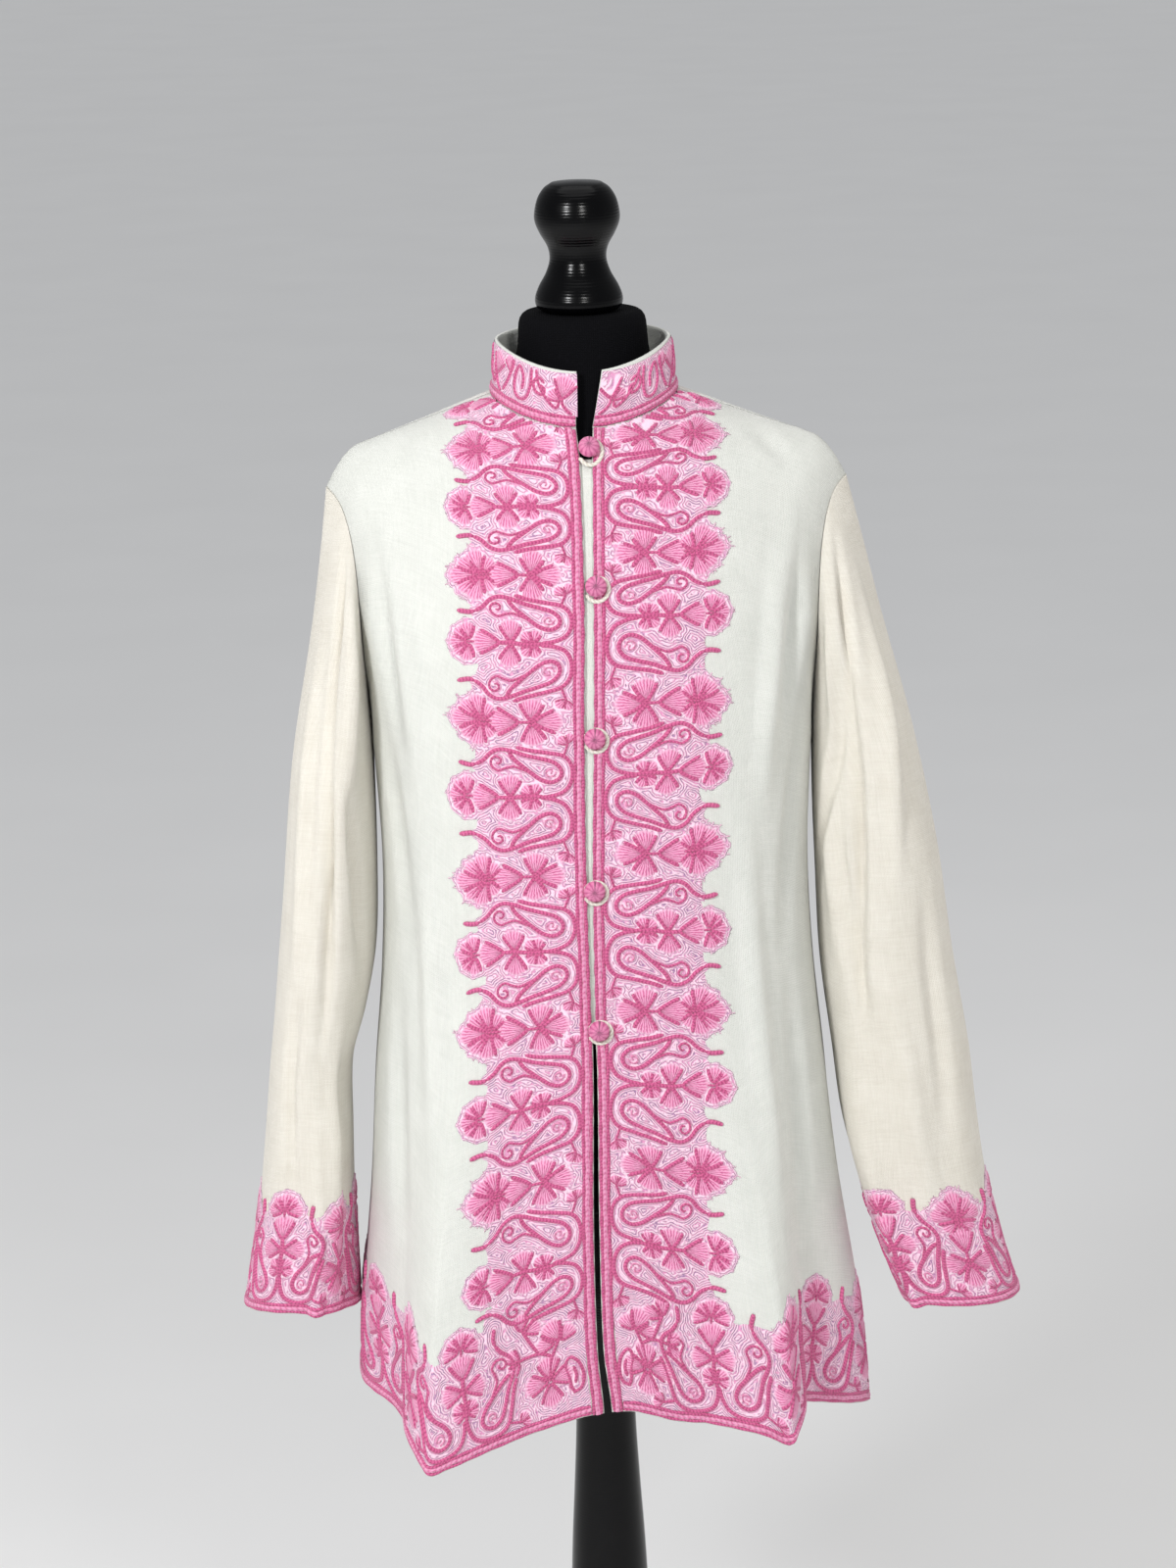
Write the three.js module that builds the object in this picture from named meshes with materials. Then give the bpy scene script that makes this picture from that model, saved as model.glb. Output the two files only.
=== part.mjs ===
// A woollen jacket with a stand collar, worn by a limbless dress form on a turned stand.
// Millimetres, +Z up, the front towards -Y, the origin at the centre of the base's underside.
// Left and right are the wearer's, so the left front lies at +X.
import * as THREE from "three";
import { mergeVertices } from "three/addons/utils/BufferGeometryUtils.js";

// The jacket and the form's torso hang a little to one side of the turned stand.
const JACKET_X = 3;
const STAND_X = 1;

// The cloth and the room that is left at its seams
const CLOTH = 2;
const SEAM = 0.4;

// Sections of the body below the armholes: half width, depth before and behind, squareness of the corners
const BODY_LEVELS = [
  { z: 500, half: 191, front: 143, back: 140, square: 2.6 },
  { z: 600, half: 186, front: 140, back: 135, square: 2.6 },
  { z: 700, half: 176, front: 136, back: 127, square: 2.55 },
  { z: 785, half: 170, front: 133, back: 117, square: 2.5 },
  { z: 870, half: 162, front: 131, back: 108, square: 2.45 },
  { z: 950, half: 159, front: 129, back: 106, square: 2.4 },
  { z: 1045, half: 163, front: 126, back: 112, square: 2.4 },
];
const CHEST_Z = 1045;

// Height of the hem round the body, the angle counted from the centre front towards the wearer's left
const HEM = [
  { angle: -180, z: 527 },
  { angle: -150, z: 532 },
  { angle: -120, z: 526 },
  { angle: -90, z: 546 },
  { angle: -65, z: 541 },
  { angle: -50, z: 527 },
  { angle: -41, z: 516 },
  { angle: -30, z: 536 },
  { angle: -10, z: 551 },
  { angle: 0, z: 556 },
  { angle: 8, z: 556 },
  { angle: 20, z: 547 },
  { angle: 32, z: 542 },
  { angle: 41, z: 532 },
  { angle: 49, z: 545 },
  { angle: 57, z: 541 },
  { angle: 73, z: 524 },
  { angle: 90, z: 508 },
  { angle: 120, z: 522 },
  { angle: 150, z: 531 },
  { angle: 180, z: 527 },
];

// Folds that fall to the hem: middle, half width, height at the hem, and where each one starts
const BODY_FOLDS = [
  { angle: -41, half: 17, out: 33, from: 930 },
  { angle: -64, half: 13, out: -8, from: 780 },
  { angle: -126, half: 17, out: 17, from: 850 },
  { angle: -153, half: 14, out: -8, from: 790 },
  { angle: 176, half: 19, out: 14, from: 900 },
  { angle: 152, half: 12, out: -7, from: 770 },
  { angle: 128, half: 16, out: 16, from: 840 },
  { angle: 77, half: 15, out: 12, from: 820 },
  { angle: 58, half: 11, out: -9, from: 760 },
  { angle: 42, half: 15, out: 31, from: 900 },
];
const FOLD_FULL_Z = 520;

// Neckline and shoulders
const NECK = { half: 67, front: 66, back: 60, sideZ: 1297, frontZ: 1281, backZ: 1300 };
const SHOULDER = { tip: 190, forward: 6, slope: 0.37, roundFrom: 165, roundDrop: 22 };

// How full the arch of the chest and of the back is near the neck: 1 is a plain quarter ellipse, and
// less is fuller. It turns into the plain one over this distance past the neck.
const ARCH = { front: 0.9, back: 0.7, fade: 100 };

// The armholes cut this many degrees into the front and the back.
const ARMHOLE = { front: 17, back: 14, middleY: -2, middleZ: 1135 };

// The two front edges, from the hem up: the wearer's right one and left one, from the centre
const FRONT_EDGES = [
  { z: 500, right: -3, left: 3 },
  { z: 557, right: -3.4, left: 2.4 },
  { z: 605, right: -7, left: -2.7 },
  { z: 700, right: -7.6, left: -3.6 },
  { z: 815, right: -5.2, left: -2.4 },
  { z: 860, right: -5.3, left: -3.2 },
  { z: 969, right: -6.2, left: -2.6 },
  { z: 1080, right: -5, left: 0.9 },
  { z: 1160, right: -3, left: 2.6 },
  { z: 1256, right: -4, left: 4.4 },
  { z: 1290, right: -7.5, left: 6.2 },
];

// Sleeve sections from the shoulder down: outer and inner edge from the centre, middle and half depth
const SLEEVE_LEFT = [
  { z: 590, outer: 318, inner: 229, middle: -12, deep: 47 },
  { z: 633, outer: 304, inner: 213, middle: -11, deep: 50 },
  { z: 690, outer: 291, inner: 195, middle: -10, deep: 53 },
  { z: 740, outer: 284, inner: 182, middle: -9, deep: 56 },
  { z: 795, outer: 278, inner: 175, middle: -8, deep: 59 },
  { z: 870, outer: 266, inner: 166.5, middle: -7, deep: 63 },
  { z: 955, outer: 255, inner: 165, middle: -5, deep: 66 },
  { z: 1044, outer: 238, inner: 166, middle: -2, deep: 64 },
  { z: 1125, outer: 218, inner: 166, middle: 0, deep: 53 },
  { z: 1180, outer: 206, inner: 167, middle: 3, deep: 43 },
  { z: 1230, outer: 195, inner: 168, middle: 5, deep: 30 },
];
const SLEEVE_RIGHT = [
  { z: 590, outer: 277, inner: 188, middle: -10, deep: 46 },
  { z: 660, outer: 264, inner: 189, middle: -10, deep: 54 },
  { z: 740, outer: 254, inner: 188, middle: -9, deep: 61 },
  { z: 795, outer: 248, inner: 186, middle: -9, deep: 65 },
  { z: 835, outer: 243, inner: 175, middle: -10, deep: 69 },
  { z: 880, outer: 238, inner: 166, middle: -11, deep: 72 },
  { z: 925, outer: 233, inner: 163.5, middle: -11, deep: 74 },
  { z: 1030, outer: 222, inner: 165, middle: -8, deep: 71 },
  { z: 1125, outer: 205, inner: 165.5, middle: -2, deep: 54 },
  { z: 1180, outer: 197, inner: 167, middle: 3, deep: 43 },
  { z: 1230, outer: 191, inner: 168, middle: 5, deep: 30 },
];
const SLEEVE_SQUARE = 2.2;
// Height of each cuff's edge, and how much higher it lies before than beside the arm
const CUFF_LEFT = { z: 596, rise: 4 };
const CUFF_RIGHT = { z: 598, rise: 9 };
const ARMHOLE_FADE = 4;

// Soft folds of the sleeves: middle round the arm from its outer side towards the front, half width,
// height, and the heights between which each one lies
const SLEEVE_FOLDS_LEFT = [
  { angle: 74, half: 34, out: 8, high: 1225, low: 960 },
  { angle: 118, half: 30, out: -7, high: 1190, low: 900 },
  { angle: 140, half: 30, out: 9, high: 860, low: 520 },
  { angle: 300, half: 34, out: 7, high: 1200, low: 880 },
  { angle: 245, half: 30, out: -6, high: 1120, low: 760 },
  { angle: 320, half: 30, out: 7, high: 830, low: 520 },
];
const SLEEVE_FOLDS_RIGHT = [
  { angle: 104, half: 30, out: 9, high: 1200, low: 860 },
  { angle: 62, half: 30, out: -6, high: 1160, low: 860 },
  { angle: 112, half: 30, out: 10, high: 850, low: 520 },
  { angle: 296, half: 34, out: 7, high: 1190, low: 900 },
  { angle: 250, half: 30, out: -6, high: 1060, low: 740 },
  { angle: 310, half: 30, out: 7, high: 820, low: 520 },
];

// Stand collar: height, and how far its top leans in at the sides and before; its ends from the centre
const COLLAR = { high: 38.5, leanSide: 3.5, leanFront: 6, lift: 0.8, leftTop: 14, rightTop: -5.5 };

// Strip behind the front edges
const UNDERLAP = { from: -17, to: 19, low: 845, high: 1248, cloth: 1.6 };

// Covered buttons, from the top down, and the cord loop that holds each one
const BUTTONS = [
  { z: 1266.6, x: 2.5 },
  { z: 1174.7, x: 5 },
  { z: 1068.1, x: 1.5 },
  { z: 956, x: -1.2 },
  { z: 851.5, x: -0.4 },
];
const BUTTON_RADIUS = 7.6;
const BUTTON_FLATNESS = 0.75;
const LOOP = { radius: 8.8, cord: 3, opening: 150, drop: 1.2, tail: 3 };

// Form: how far its skin stays inside the cloth's face at each height, and its neck
const FORM_BOTTOM = 700;
const FORM_INSETS = [
  { z: 700, inset: 16 },
  { z: 780, inset: 15 },
  { z: 880, inset: 25 },
  { z: 960, inset: 18 },
  { z: 1045, inset: 10 },
];
const FORM_SHOULDER_INSET = 2.7;
const FORM_TIP_ROOM = 4;
const FORM_NECK_INSET = 10;
const NECK_RINGS = [
  { z: 1311, radius: 52 },
  { z: 1330, radius: 47.5 },
  { z: 1347, radius: 46.5 },
  { z: 1352.5, radius: 45 },
  { z: 1355, radius: 41 },
];

// Turned profiles: radius and height, from the underside up
const KNOB = [
  [0, 1355.4], [27, 1355.4], [31, 1359], [31.8, 1365], [29, 1373], [23.5, 1383], [20.6, 1393],
  [22, 1402], [27, 1411], [30.4, 1419], [30.9, 1426], [28.6, 1436], [24, 1443.5], [18.5, 1447.4],
  [0, 1448.6],
];
const COLUMN = [
  [0, 22.3], [62, 22.3], [64, 28], [58, 36], [46, 46], [42, 60], [45, 74], [43, 90], [37, 110],
  [34, 160], [32.5, 260], [29.2, 372], [25.5, 440], [23.2, 488], [21.5, 560], [20.5, 640],
  [20, 699.7], [0, 699.7],
];
const BASE = [
  [0, 0], [166, 0], [170, 4], [170, 12], [166, 18], [158, 21], [70, 22], [0, 22],
];

// Steps of the grids
const NECK_STEPS = 6;
const SHOULDER_STEPS = 10;
const LOWER_ROWS = 12;
const UPPER_ROWS = 9;
const SLEEVE_ROWS = 14;

const WOOL = { color: 0xe6e3d6, roughness: 0.9, metalness: 0 };
const PINK = { color: 0xe07fb4, roughness: 0.8, metalness: 0 };
const JERSEY = { color: 0x141414, roughness: 0.85, metalness: 0 };
const BLACK_WOOD = { color: 0x0c0c0c, roughness: 0.3, metalness: 0 };

const radians = THREE.MathUtils.degToRad;
const degrees = THREE.MathUtils.radToDeg;
const mix = THREE.MathUtils.lerp;

// 0 below 0, 1 above 1, and a smooth rise between.
function ease(t) {
  const held = Math.min(Math.max(t, 0), 1);
  return held * held * (3 - 2 * held);
}

// Smooth curve through one column of a table whose rows rise in their key.
function curve(rows, key, column) {
  const slopes = rows.map((_, i) => {
    const before = rows[Math.max(i - 1, 0)];
    const after = rows[Math.min(i + 1, rows.length - 1)];
    return (after[column] - before[column]) / (after[key] - before[key]);
  });
  return (place) => {
    const at = Math.min(Math.max(place, rows[0][key]), rows.at(-1)[key]);
    const i = Math.min(rows.findLastIndex((row) => row[key] <= at), rows.length - 2);
    const span = rows[i + 1][key] - rows[i][key];
    const t = (at - rows[i][key]) / span;
    const rise = t * t * (3 - 2 * t);
    return (
      rows[i][column] * (1 - rise) +
      rows[i + 1][column] * rise +
      slopes[i] * span * t * (1 - t) * (1 - t) -
      slopes[i + 1] * span * t * t * (1 - t)
    );
  };
}

// The value where a rising function reaches the target, by halving.
function solve(rising, target, from, to) {
  let low = from;
  let high = to;
  for (let i = 0; i < 40; i += 1) {
    const middle = (low + high) / 2;
    if (rising(middle) < target) low = middle;
    else high = middle;
  }
  return (low + high) / 2;
}

const bodyHalf = curve(BODY_LEVELS, "z", "half");
const bodyFront = curve(BODY_LEVELS, "z", "front");
const bodyBack = curve(BODY_LEVELS, "z", "back");
const bodySquare = curve(BODY_LEVELS, "z", "square");
const hemZ = curve(HEM, "angle", "z");
const rightEdge = curve(FRONT_EDGES, "z", "right");
const leftEdge = curve(FRONT_EDGES, "z", "left");
const formInset = curve(FORM_INSETS, "z", "inset");

// Degrees from -180 to 180
function wrapped(angle) {
  return ((((angle + 180) % 360) + 360) % 360) - 180;
}

// A soft ridge with no step at its foot
function ridge(distance, half) {
  return Math.abs(distance) < half ? Math.cos((distance / half) * (Math.PI / 2)) ** 2 : 0;
}

// Radius of the body's section without folds: a squared ellipse, deeper before than behind.
function plainRadius(angle, z) {
  const across = Math.abs(Math.sin(radians(angle))) / bodyHalf(z);
  const along = Math.cos(radians(angle));
  const deep = Math.abs(along) / (along > 0 ? bodyFront(z) : bodyBack(z));
  const n = bodySquare(z);
  return (across ** n + deep ** n) ** (-1 / n);
}

// How far the folds stand out of the section
function foldHeight(angle, z) {
  return BODY_FOLDS.reduce((sum, fold) => {
    const grown = ease((fold.from - z) / (fold.from - FOLD_FULL_Z));
    return sum + fold.out * grown * ridge(wrapped(angle - fold.angle), fold.half);
  }, 0);
}

function lowerPoint(angle, z) {
  const radius = plainRadius(angle, z) + foldHeight(angle, z);
  return new THREE.Vector3(
    radius * Math.sin(radians(angle)),
    -radius * Math.cos(radians(angle)),
    z,
  );
}

// Distance from the centre at which a column that starts this far out at the chest meets the top:
// straight up to the neckline, and spreading ever more towards the shoulder's tip.
function topX(chestX) {
  const half = bodyHalf(CHEST_Z);
  const past = Math.max(Math.abs(chestX) - NECK.half, 0) / (half - NECK.half);
  return chestX + Math.sign(chestX) * (SHOULDER.tip - half) * past * past;
}

function topPoint(x, behind) {
  const from = Math.abs(x);
  if (from < NECK.half) {
    const along = Math.sqrt(1 - (from / NECK.half) ** 2);
    const deep = behind ? NECK.back : -NECK.front;
    const z = mix(NECK.sideZ, behind ? NECK.backZ : NECK.frontZ, along * along);
    return new THREE.Vector3(x, deep * along, z);
  }
  const past = from - NECK.half;
  const rounded = Math.max(from - SHOULDER.roundFrom, 0) / (SHOULDER.tip - SHOULDER.roundFrom);
  return new THREE.Vector3(
    x,
    (SHOULDER.forward * past) / (SHOULDER.tip - NECK.half),
    NECK.sideZ - SHOULDER.slope * past - SHOULDER.roundDrop * rounded * rounded,
  );
}

// The quarter arch in which a column rises from the chest to the shoulder line: how full it is, and
// how far round it the column ends, which is sooner where the neckline cuts it.
function archOf(foot, head, behind) {
  const past = Math.max(Math.abs(head.x) - NECK.half, 0);
  const full = mix(behind ? ARCH.back : ARCH.front, 1, ease(past / ARCH.fade));
  const end = past > 0 ? Math.PI / 2 : Math.acos((head.y / foot.y) ** (1 / full));
  return { full, end, forward: past > 0 ? head.y : 0 };
}

// Point above the chest, at a share of its column's arch
function upperPoint(angle, share) {
  const behind = Math.abs(wrapped(angle)) > 90;
  const foot = lowerPoint(angle, CHEST_Z);
  const head = topPoint(topX(foot.x), behind);
  const arch = archOf(foot, head, behind);
  const rise = Math.sin(share * arch.end) / Math.sin(arch.end);
  const back = Math.max(Math.cos(share * arch.end), 0) ** arch.full;
  return new THREE.Vector3(
    mix(foot.x, head.x, rise ** 1.6),
    mix(arch.forward, foot.y, back),
    mix(foot.z, head.z, rise),
  );
}

// Angle of the armhole's edge on the wearer's left, at a share of its height
function armholeAngle(share, behind) {
  const cut = Math.sin(Math.PI * share);
  return behind ? 90 + ARMHOLE.back * cut : 90 - ARMHOLE.front * cut;
}

// Angle at the chest of the column that reaches this distance from the centre at the top
function columnAngle(x, behind) {
  const chestX = solve(topX, x, 0, bodyHalf(CHEST_Z));
  const turn = (angle) => (behind ? 180 - angle : angle);
  const across = (angle) => plainRadius(turn(angle), CHEST_Z) * Math.sin(radians(angle));
  return turn(solve(across, chestX, 0, 90));
}

// Distances from the centre of a panel's columns at the top: even round the neck, then along the seam
function topColumns(startX) {
  const start = Math.asin(startX / NECK.half);
  const neck = Array.from(
    { length: NECK_STEPS },
    (_, i) => NECK.half * Math.sin(mix(start, Math.PI / 2, i / NECK_STEPS)),
  );
  const shoulder = Array.from({ length: SHOULDER_STEPS + 1 }, (_, i) =>
    mix(NECK.half, SHOULDER.tip, i / SHOULDER_STEPS),
  );
  return [...neck, ...shoulder];
}

// Rows of a body panel, each row a list of points; columns is a list of shares from one side to the other.
function panelRows(columns, lowerAngles, upperAngles) {
  const rows = [];
  for (let i = 0; i < LOWER_ROWS; i += 1) {
    const share = i / LOWER_ROWS;
    const [from, to] = lowerAngles(mix(hemZ(0), CHEST_Z, share));
    rows.push(
      columns.map((column) => {
        const angle = mix(from, to, column);
        return lowerPoint(angle, mix(hemZ(wrapped(angle)), CHEST_Z, share));
      }),
    );
  }
  for (let i = 0; i <= UPPER_ROWS; i += 1) {
    const share = i / UPPER_ROWS;
    const [from, to] = upperAngles(share);
    rows.push(columns.map((column) => upperPoint(mix(from, to, column), share)));
  }
  return rows;
}

// Outward directions of a grid of points whose rows go round and whose columns rise.
function outward(rows, closed) {
  const last = rows[0].length - 1;
  return rows.map((row, j) =>
    row.map((_, i) => {
      const before = i > 0 ? i - 1 : closed ? last : 0;
      const after = i < last ? i + 1 : closed ? 0 : last;
      const below = rows[Math.max(j - 1, 0)][i];
      const above = rows[Math.min(j + 1, rows.length - 1)][i];
      const round = row[after].clone().sub(row[before]);
      return round.cross(above.clone().sub(below)).normalize();
    }),
  );
}

// Faces of a grid given by the number of each point; each square is cut into two triangles.
function gridFaces(faces, number, rowCount, columnCount, closed, turned) {
  const wide = closed ? columnCount : columnCount - 1;
  for (let j = 0; j < rowCount - 1; j += 1) {
    for (let i = 0; i < wide; i += 1) {
      const next = (i + 1) % columnCount;
      const square = [number(j, i), number(j, next), number(j + 1, next), number(j + 1, i)];
      if (turned) square.reverse();
      faces.push(square[0], square[1], square[2], square[0], square[2], square[3]);
    }
  }
}

function geometryOf(points, faces) {
  const geometry = new THREE.BufferGeometry();
  geometry.setAttribute(
    "position",
    new THREE.Float32BufferAttribute(points.flatMap((p) => [p.x, p.y, p.z]), 3),
  );
  geometry.setIndex(faces);
  geometry.computeVertexNormals();
  return geometry;
}

// A wall of cloth: the outer face follows the rows, the inner one lies behind it along the directions.
function wall(rows, directions, thick, closed) {
  const rowCount = rows.length;
  const columnCount = rows[0].length;
  const outer = rows.flat();
  const inner = rows.flatMap((row, j) =>
    row.map((point, i) => point.clone().addScaledVector(directions[j][i], -thick)),
  );
  const out = (j, i) => j * columnCount + i;
  const back = (j, i) => outer.length + j * columnCount + i;
  const faces = [];
  gridFaces(faces, out, rowCount, columnCount, closed, false);
  gridFaces(faces, back, rowCount, columnCount, closed, true);
  const bottom = (j, i) => (j === 0 ? back(0, i) : out(0, i));
  const top = (j, i) => (j === 0 ? out(rowCount - 1, i) : back(rowCount - 1, i));
  gridFaces(faces, bottom, 2, columnCount, closed, false);
  gridFaces(faces, top, 2, columnCount, closed, false);
  if (!closed) {
    const first = (j, i) => (j === 0 ? out(i, 0) : back(i, 0));
    const end = (j, i) => (j === 0 ? back(i, columnCount - 1) : out(i, columnCount - 1));
    gridFaces(faces, first, 2, rowCount, false, false);
    gridFaces(faces, end, 2, rowCount, false, false);
  }
  return geometryOf([...outer, ...inner], faces);
}

function mesh(name, geometry, finish) {
  const made = new THREE.Mesh(geometry, new THREE.MeshStandardMaterial(finish));
  made.name = name;
  return made;
}

// Direction of the wall at a seam of the armhole: radial there near the shoulder, the panel's own below.
function armholeDirection(own, point) {
  const radial = new THREE.Vector3(
    0,
    point.y - ARMHOLE.middleY,
    point.z - ARMHOLE.middleZ,
  ).normalize();
  return own.clone().lerp(radial, ease((point.z - 1150) / 50)).normalize();
}

// Turns the wall's directions at the shoulder seam, the side seam and the armhole so that panels meet
// edge to edge, and opens half of the seam's room at the shoulder.
function setSeams(rows, directions, behind) {
  const last = rows[0].length - 1;
  const sides = behind ? [0, last] : [rows[0][last].x > -rows[0][0].x ? last : 0];
  const top = rows.length - 1;
  rows[top].forEach((point, i) => {
    if (Math.abs(point.x) >= NECK.half - 1e-6) directions[top][i].set(0, 0, 1);
    point.y += behind ? SEAM / 2 : -SEAM / 2;
  });
  for (const i of sides) {
    rows.forEach((row, j) => {
      if (j <= LOWER_ROWS) {
        directions[j][i].set(Math.sign(row[i].x), 0, 0);
        row[i].y += behind ? SEAM / 2 : -SEAM / 2;
      } else {
        directions[j][i].copy(armholeDirection(directions[j][i], row[i]));
      }
    });
  }
}

// A front: side is 1 for the wearer's left, -1 for the right.
function front(side) {
  const edge = side > 0 ? leftEdge : rightEdge;
  const edgeAngle = (z) => degrees(Math.atan(edge(z) / bodyFront(Math.min(z, CHEST_Z))));
  const topEdge = side * edge(NECK.frontZ);
  const angles = topColumns(topEdge).map((x) => columnAngle(Math.abs(x), false) * Math.sign(x || 1));
  const start = angles[0];
  const shares = angles.map((angle) => (angle - start) / (90 - start));
  const columns = side > 0 ? shares : shares.map((share) => 1 - share).reverse();
  const span = (from, to) => (side > 0 ? [from, to] : [-to, from]);
  const rows = panelRows(
    columns,
    (z) => span(edgeAngle(z), 90),
    (share) => span(edgeAngle(upperPoint(0, share).z), armholeAngle(share, false)),
  );
  const directions = outward(rows, false);
  setSeams(rows, directions, false);
  return wall(rows, directions, CLOTH, false);
}

function back() {
  const left = topColumns(0).map((x) => (columnAngle(x, true) - 90) / 180);
  const columns = [...left.slice(1).reverse(), ...left.map((share) => 1 - share)];
  const rows = panelRows(
    columns,
    () => [90, 270],
    (share) => [armholeAngle(share, true), 360 - armholeAngle(share, true)],
  );
  const directions = outward(rows, false);
  setSeams(rows, directions, true);
  return wall(rows, directions, CLOTH, false);
}

// Points of the armhole on the wearer's left, from the armpit up the front and down the back, each with
// its angle round the arm, which is 0 on the outer side, 90 before and 180 at the armpit.
function armhole() {
  const ring = [];
  for (let i = 0; i < 2 * UPPER_ROWS; i += 1) {
    const behind = i > UPPER_ROWS;
    const share = behind ? 2 - i / UPPER_ROWS : i / UPPER_ROWS;
    const point = upperPoint(armholeAngle(share, behind), share);
    ring.push({ point, round: 180 * (behind ? 1 + share : 1 - share) });
  }
  return ring;
}

// A point of a sleeve's section at a height: a squared ellipse with the sleeve's folds.
function sleevePoint(section, folds, round, z) {
  const swell = folds.reduce((sum, fold) => {
    const middle = (fold.high + fold.low) / 2;
    const grown = ridge(z - middle, (fold.high - fold.low) / 2);
    return sum + fold.out * grown * ridge(wrapped(round - fold.angle), fold.half);
  }, 0);
  const wide = (section.outer(z) - section.inner(z)) / 2;
  const middle = (section.outer(z) + section.inner(z)) / 2;
  const cosine = Math.cos(radians(round));
  const sine = Math.sin(radians(round));
  const power = 2 / SLEEVE_SQUARE;
  return new THREE.Vector3(
    middle + (wide + swell) * Math.sign(cosine) * Math.abs(cosine) ** power,
    section.middle(z) - (section.deep(z) + swell) * Math.sign(sine) * Math.abs(sine) ** power,
    z,
  );
}

// A sleeve, from the armhole to the cuff: its own sections, drawn to the armhole near the shoulder.
function sleeve(side, table, folds, cuff) {
  const section = Object.fromEntries(
    ["outer", "inner", "middle", "deep"].map((column) => [column, curve(table, "z", column)]),
  );
  const ring = armhole();
  if (side < 0) ring.reverse();
  const rows = [];
  for (let j = SLEEVE_ROWS; j >= 0; j -= 1) {
    const share = (j / SLEEVE_ROWS) ** 1.15;
    rows.push(
      ring.map(({ point, round }) => {
        const start = sleevePoint(section, folds, round, point.z);
        const away = point.clone().sub(start).multiplyScalar((1 - share) ** ARMHOLE_FADE);
        const edge = cuff.z + cuff.rise * Math.sin(radians(round));
        const made = sleevePoint(section, folds, round, mix(point.z, edge, share)).add(away);
        made.x = side * (made.x + SEAM);
        return made;
      }),
    );
  }
  const directions = outward(rows, true);
  rows[SLEEVE_ROWS].forEach((point, i) => {
    directions[SLEEVE_ROWS][i].copy(armholeDirection(directions[SLEEVE_ROWS][i], point));
  });
  return wall(rows, directions, CLOTH, true);
}

// The stand collar, from the wearer's right end round the back to the left end.
function collar() {
  const steps = 4 * NECK_STEPS;
  const startBottom = degrees(Math.asin(leftEdge(NECK.frontZ) / NECK.half));
  const endBottom = 360 + degrees(Math.asin(rightEdge(NECK.frontZ) / NECK.half));
  const startTop = degrees(Math.asin(COLLAR.leftTop / NECK.half));
  const endTop = 360 + degrees(Math.asin(COLLAR.rightTop / NECK.half));
  const levels = 3;
  const rows = Array.from({ length: levels + 1 }, (_, j) => {
    const up = j / levels;
    return Array.from({ length: steps + 1 }, (__, i) => {
      const from = mix(startBottom, startTop, up);
      const to = mix(endBottom, endTop, up);
      const angle = mix(from, to, i / steps);
      const sine = Math.sin(radians(angle));
      const cosine = Math.cos(radians(angle));
      const behind = cosine < 0;
      const half = NECK.half - COLLAR.leanSide * up;
      const lean = behind ? COLLAR.leanSide : mix(COLLAR.leanSide, COLLAR.leanFront, cosine);
      const deep = (behind ? NECK.back : NECK.front) - lean * up;
      const seam = mix(NECK.sideZ, behind ? NECK.backZ : NECK.frontZ, cosine * cosine);
      return new THREE.Vector3(half * sine, -deep * cosine, seam + COLLAR.lift + COLLAR.high * up);
    });
  });
  return wall(rows, outward(rows, false), CLOTH, false);
}

// Share of its arch at which the centre front reaches z
function frontShare(z) {
  return solve((share) => upperPoint(0, share).z, z, 0, 1);
}

// The face of the two fronts near the centre, taken across the gap between them.
function frontFace(x, z) {
  const angle = degrees(Math.atan(x / bodyFront(Math.min(z, CHEST_Z))));
  return z > CHEST_Z ? upperPoint(angle, frontShare(z)) : lowerPoint(angle, z);
}

// Outward direction of that face at the centre
function frontNormal(z) {
  const step = 2;
  const up = frontFace(0, z + step).sub(frontFace(0, z - step));
  return new THREE.Vector3(1, 0, 0).cross(up).normalize();
}

function underlap() {
  const levels = 10;
  const steps = 2;
  const rows = Array.from({ length: levels + 1 }, (_, j) => {
    const z = mix(UNDERLAP.low, UNDERLAP.high, j / levels);
    return Array.from({ length: steps + 1 }, (__, i) => {
      const x = mix(UNDERLAP.from, UNDERLAP.to, i / steps);
      return frontFace(x, z).addScaledVector(frontNormal(z), -CLOTH - SEAM);
    });
  });
  return wall(rows, outward(rows, false), UNDERLAP.cloth, false);
}

// A covered ball button, a little flattened, just clear of the front that carries it.
function button(x, z) {
  const made = new THREE.SphereGeometry(BUTTON_RADIUS, 14, 9);
  made.scale(1, 1, BUTTON_FLATNESS);
  made.deleteAttribute("uv");
  made.deleteAttribute("normal");
  const closed = mergeVertices(made, 1e-4);
  const normal = frontNormal(z);
  const turn = new THREE.Quaternion().setFromUnitVectors(new THREE.Vector3(0, 0, 1), normal);
  closed.applyQuaternion(turn);
  const centre = frontFace(x, z).addScaledVector(normal, BUTTON_RADIUS * BUTTON_FLATNESS + SEAM);
  closed.translate(centre.x, centre.y, centre.z);
  return closed;
}

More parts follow.
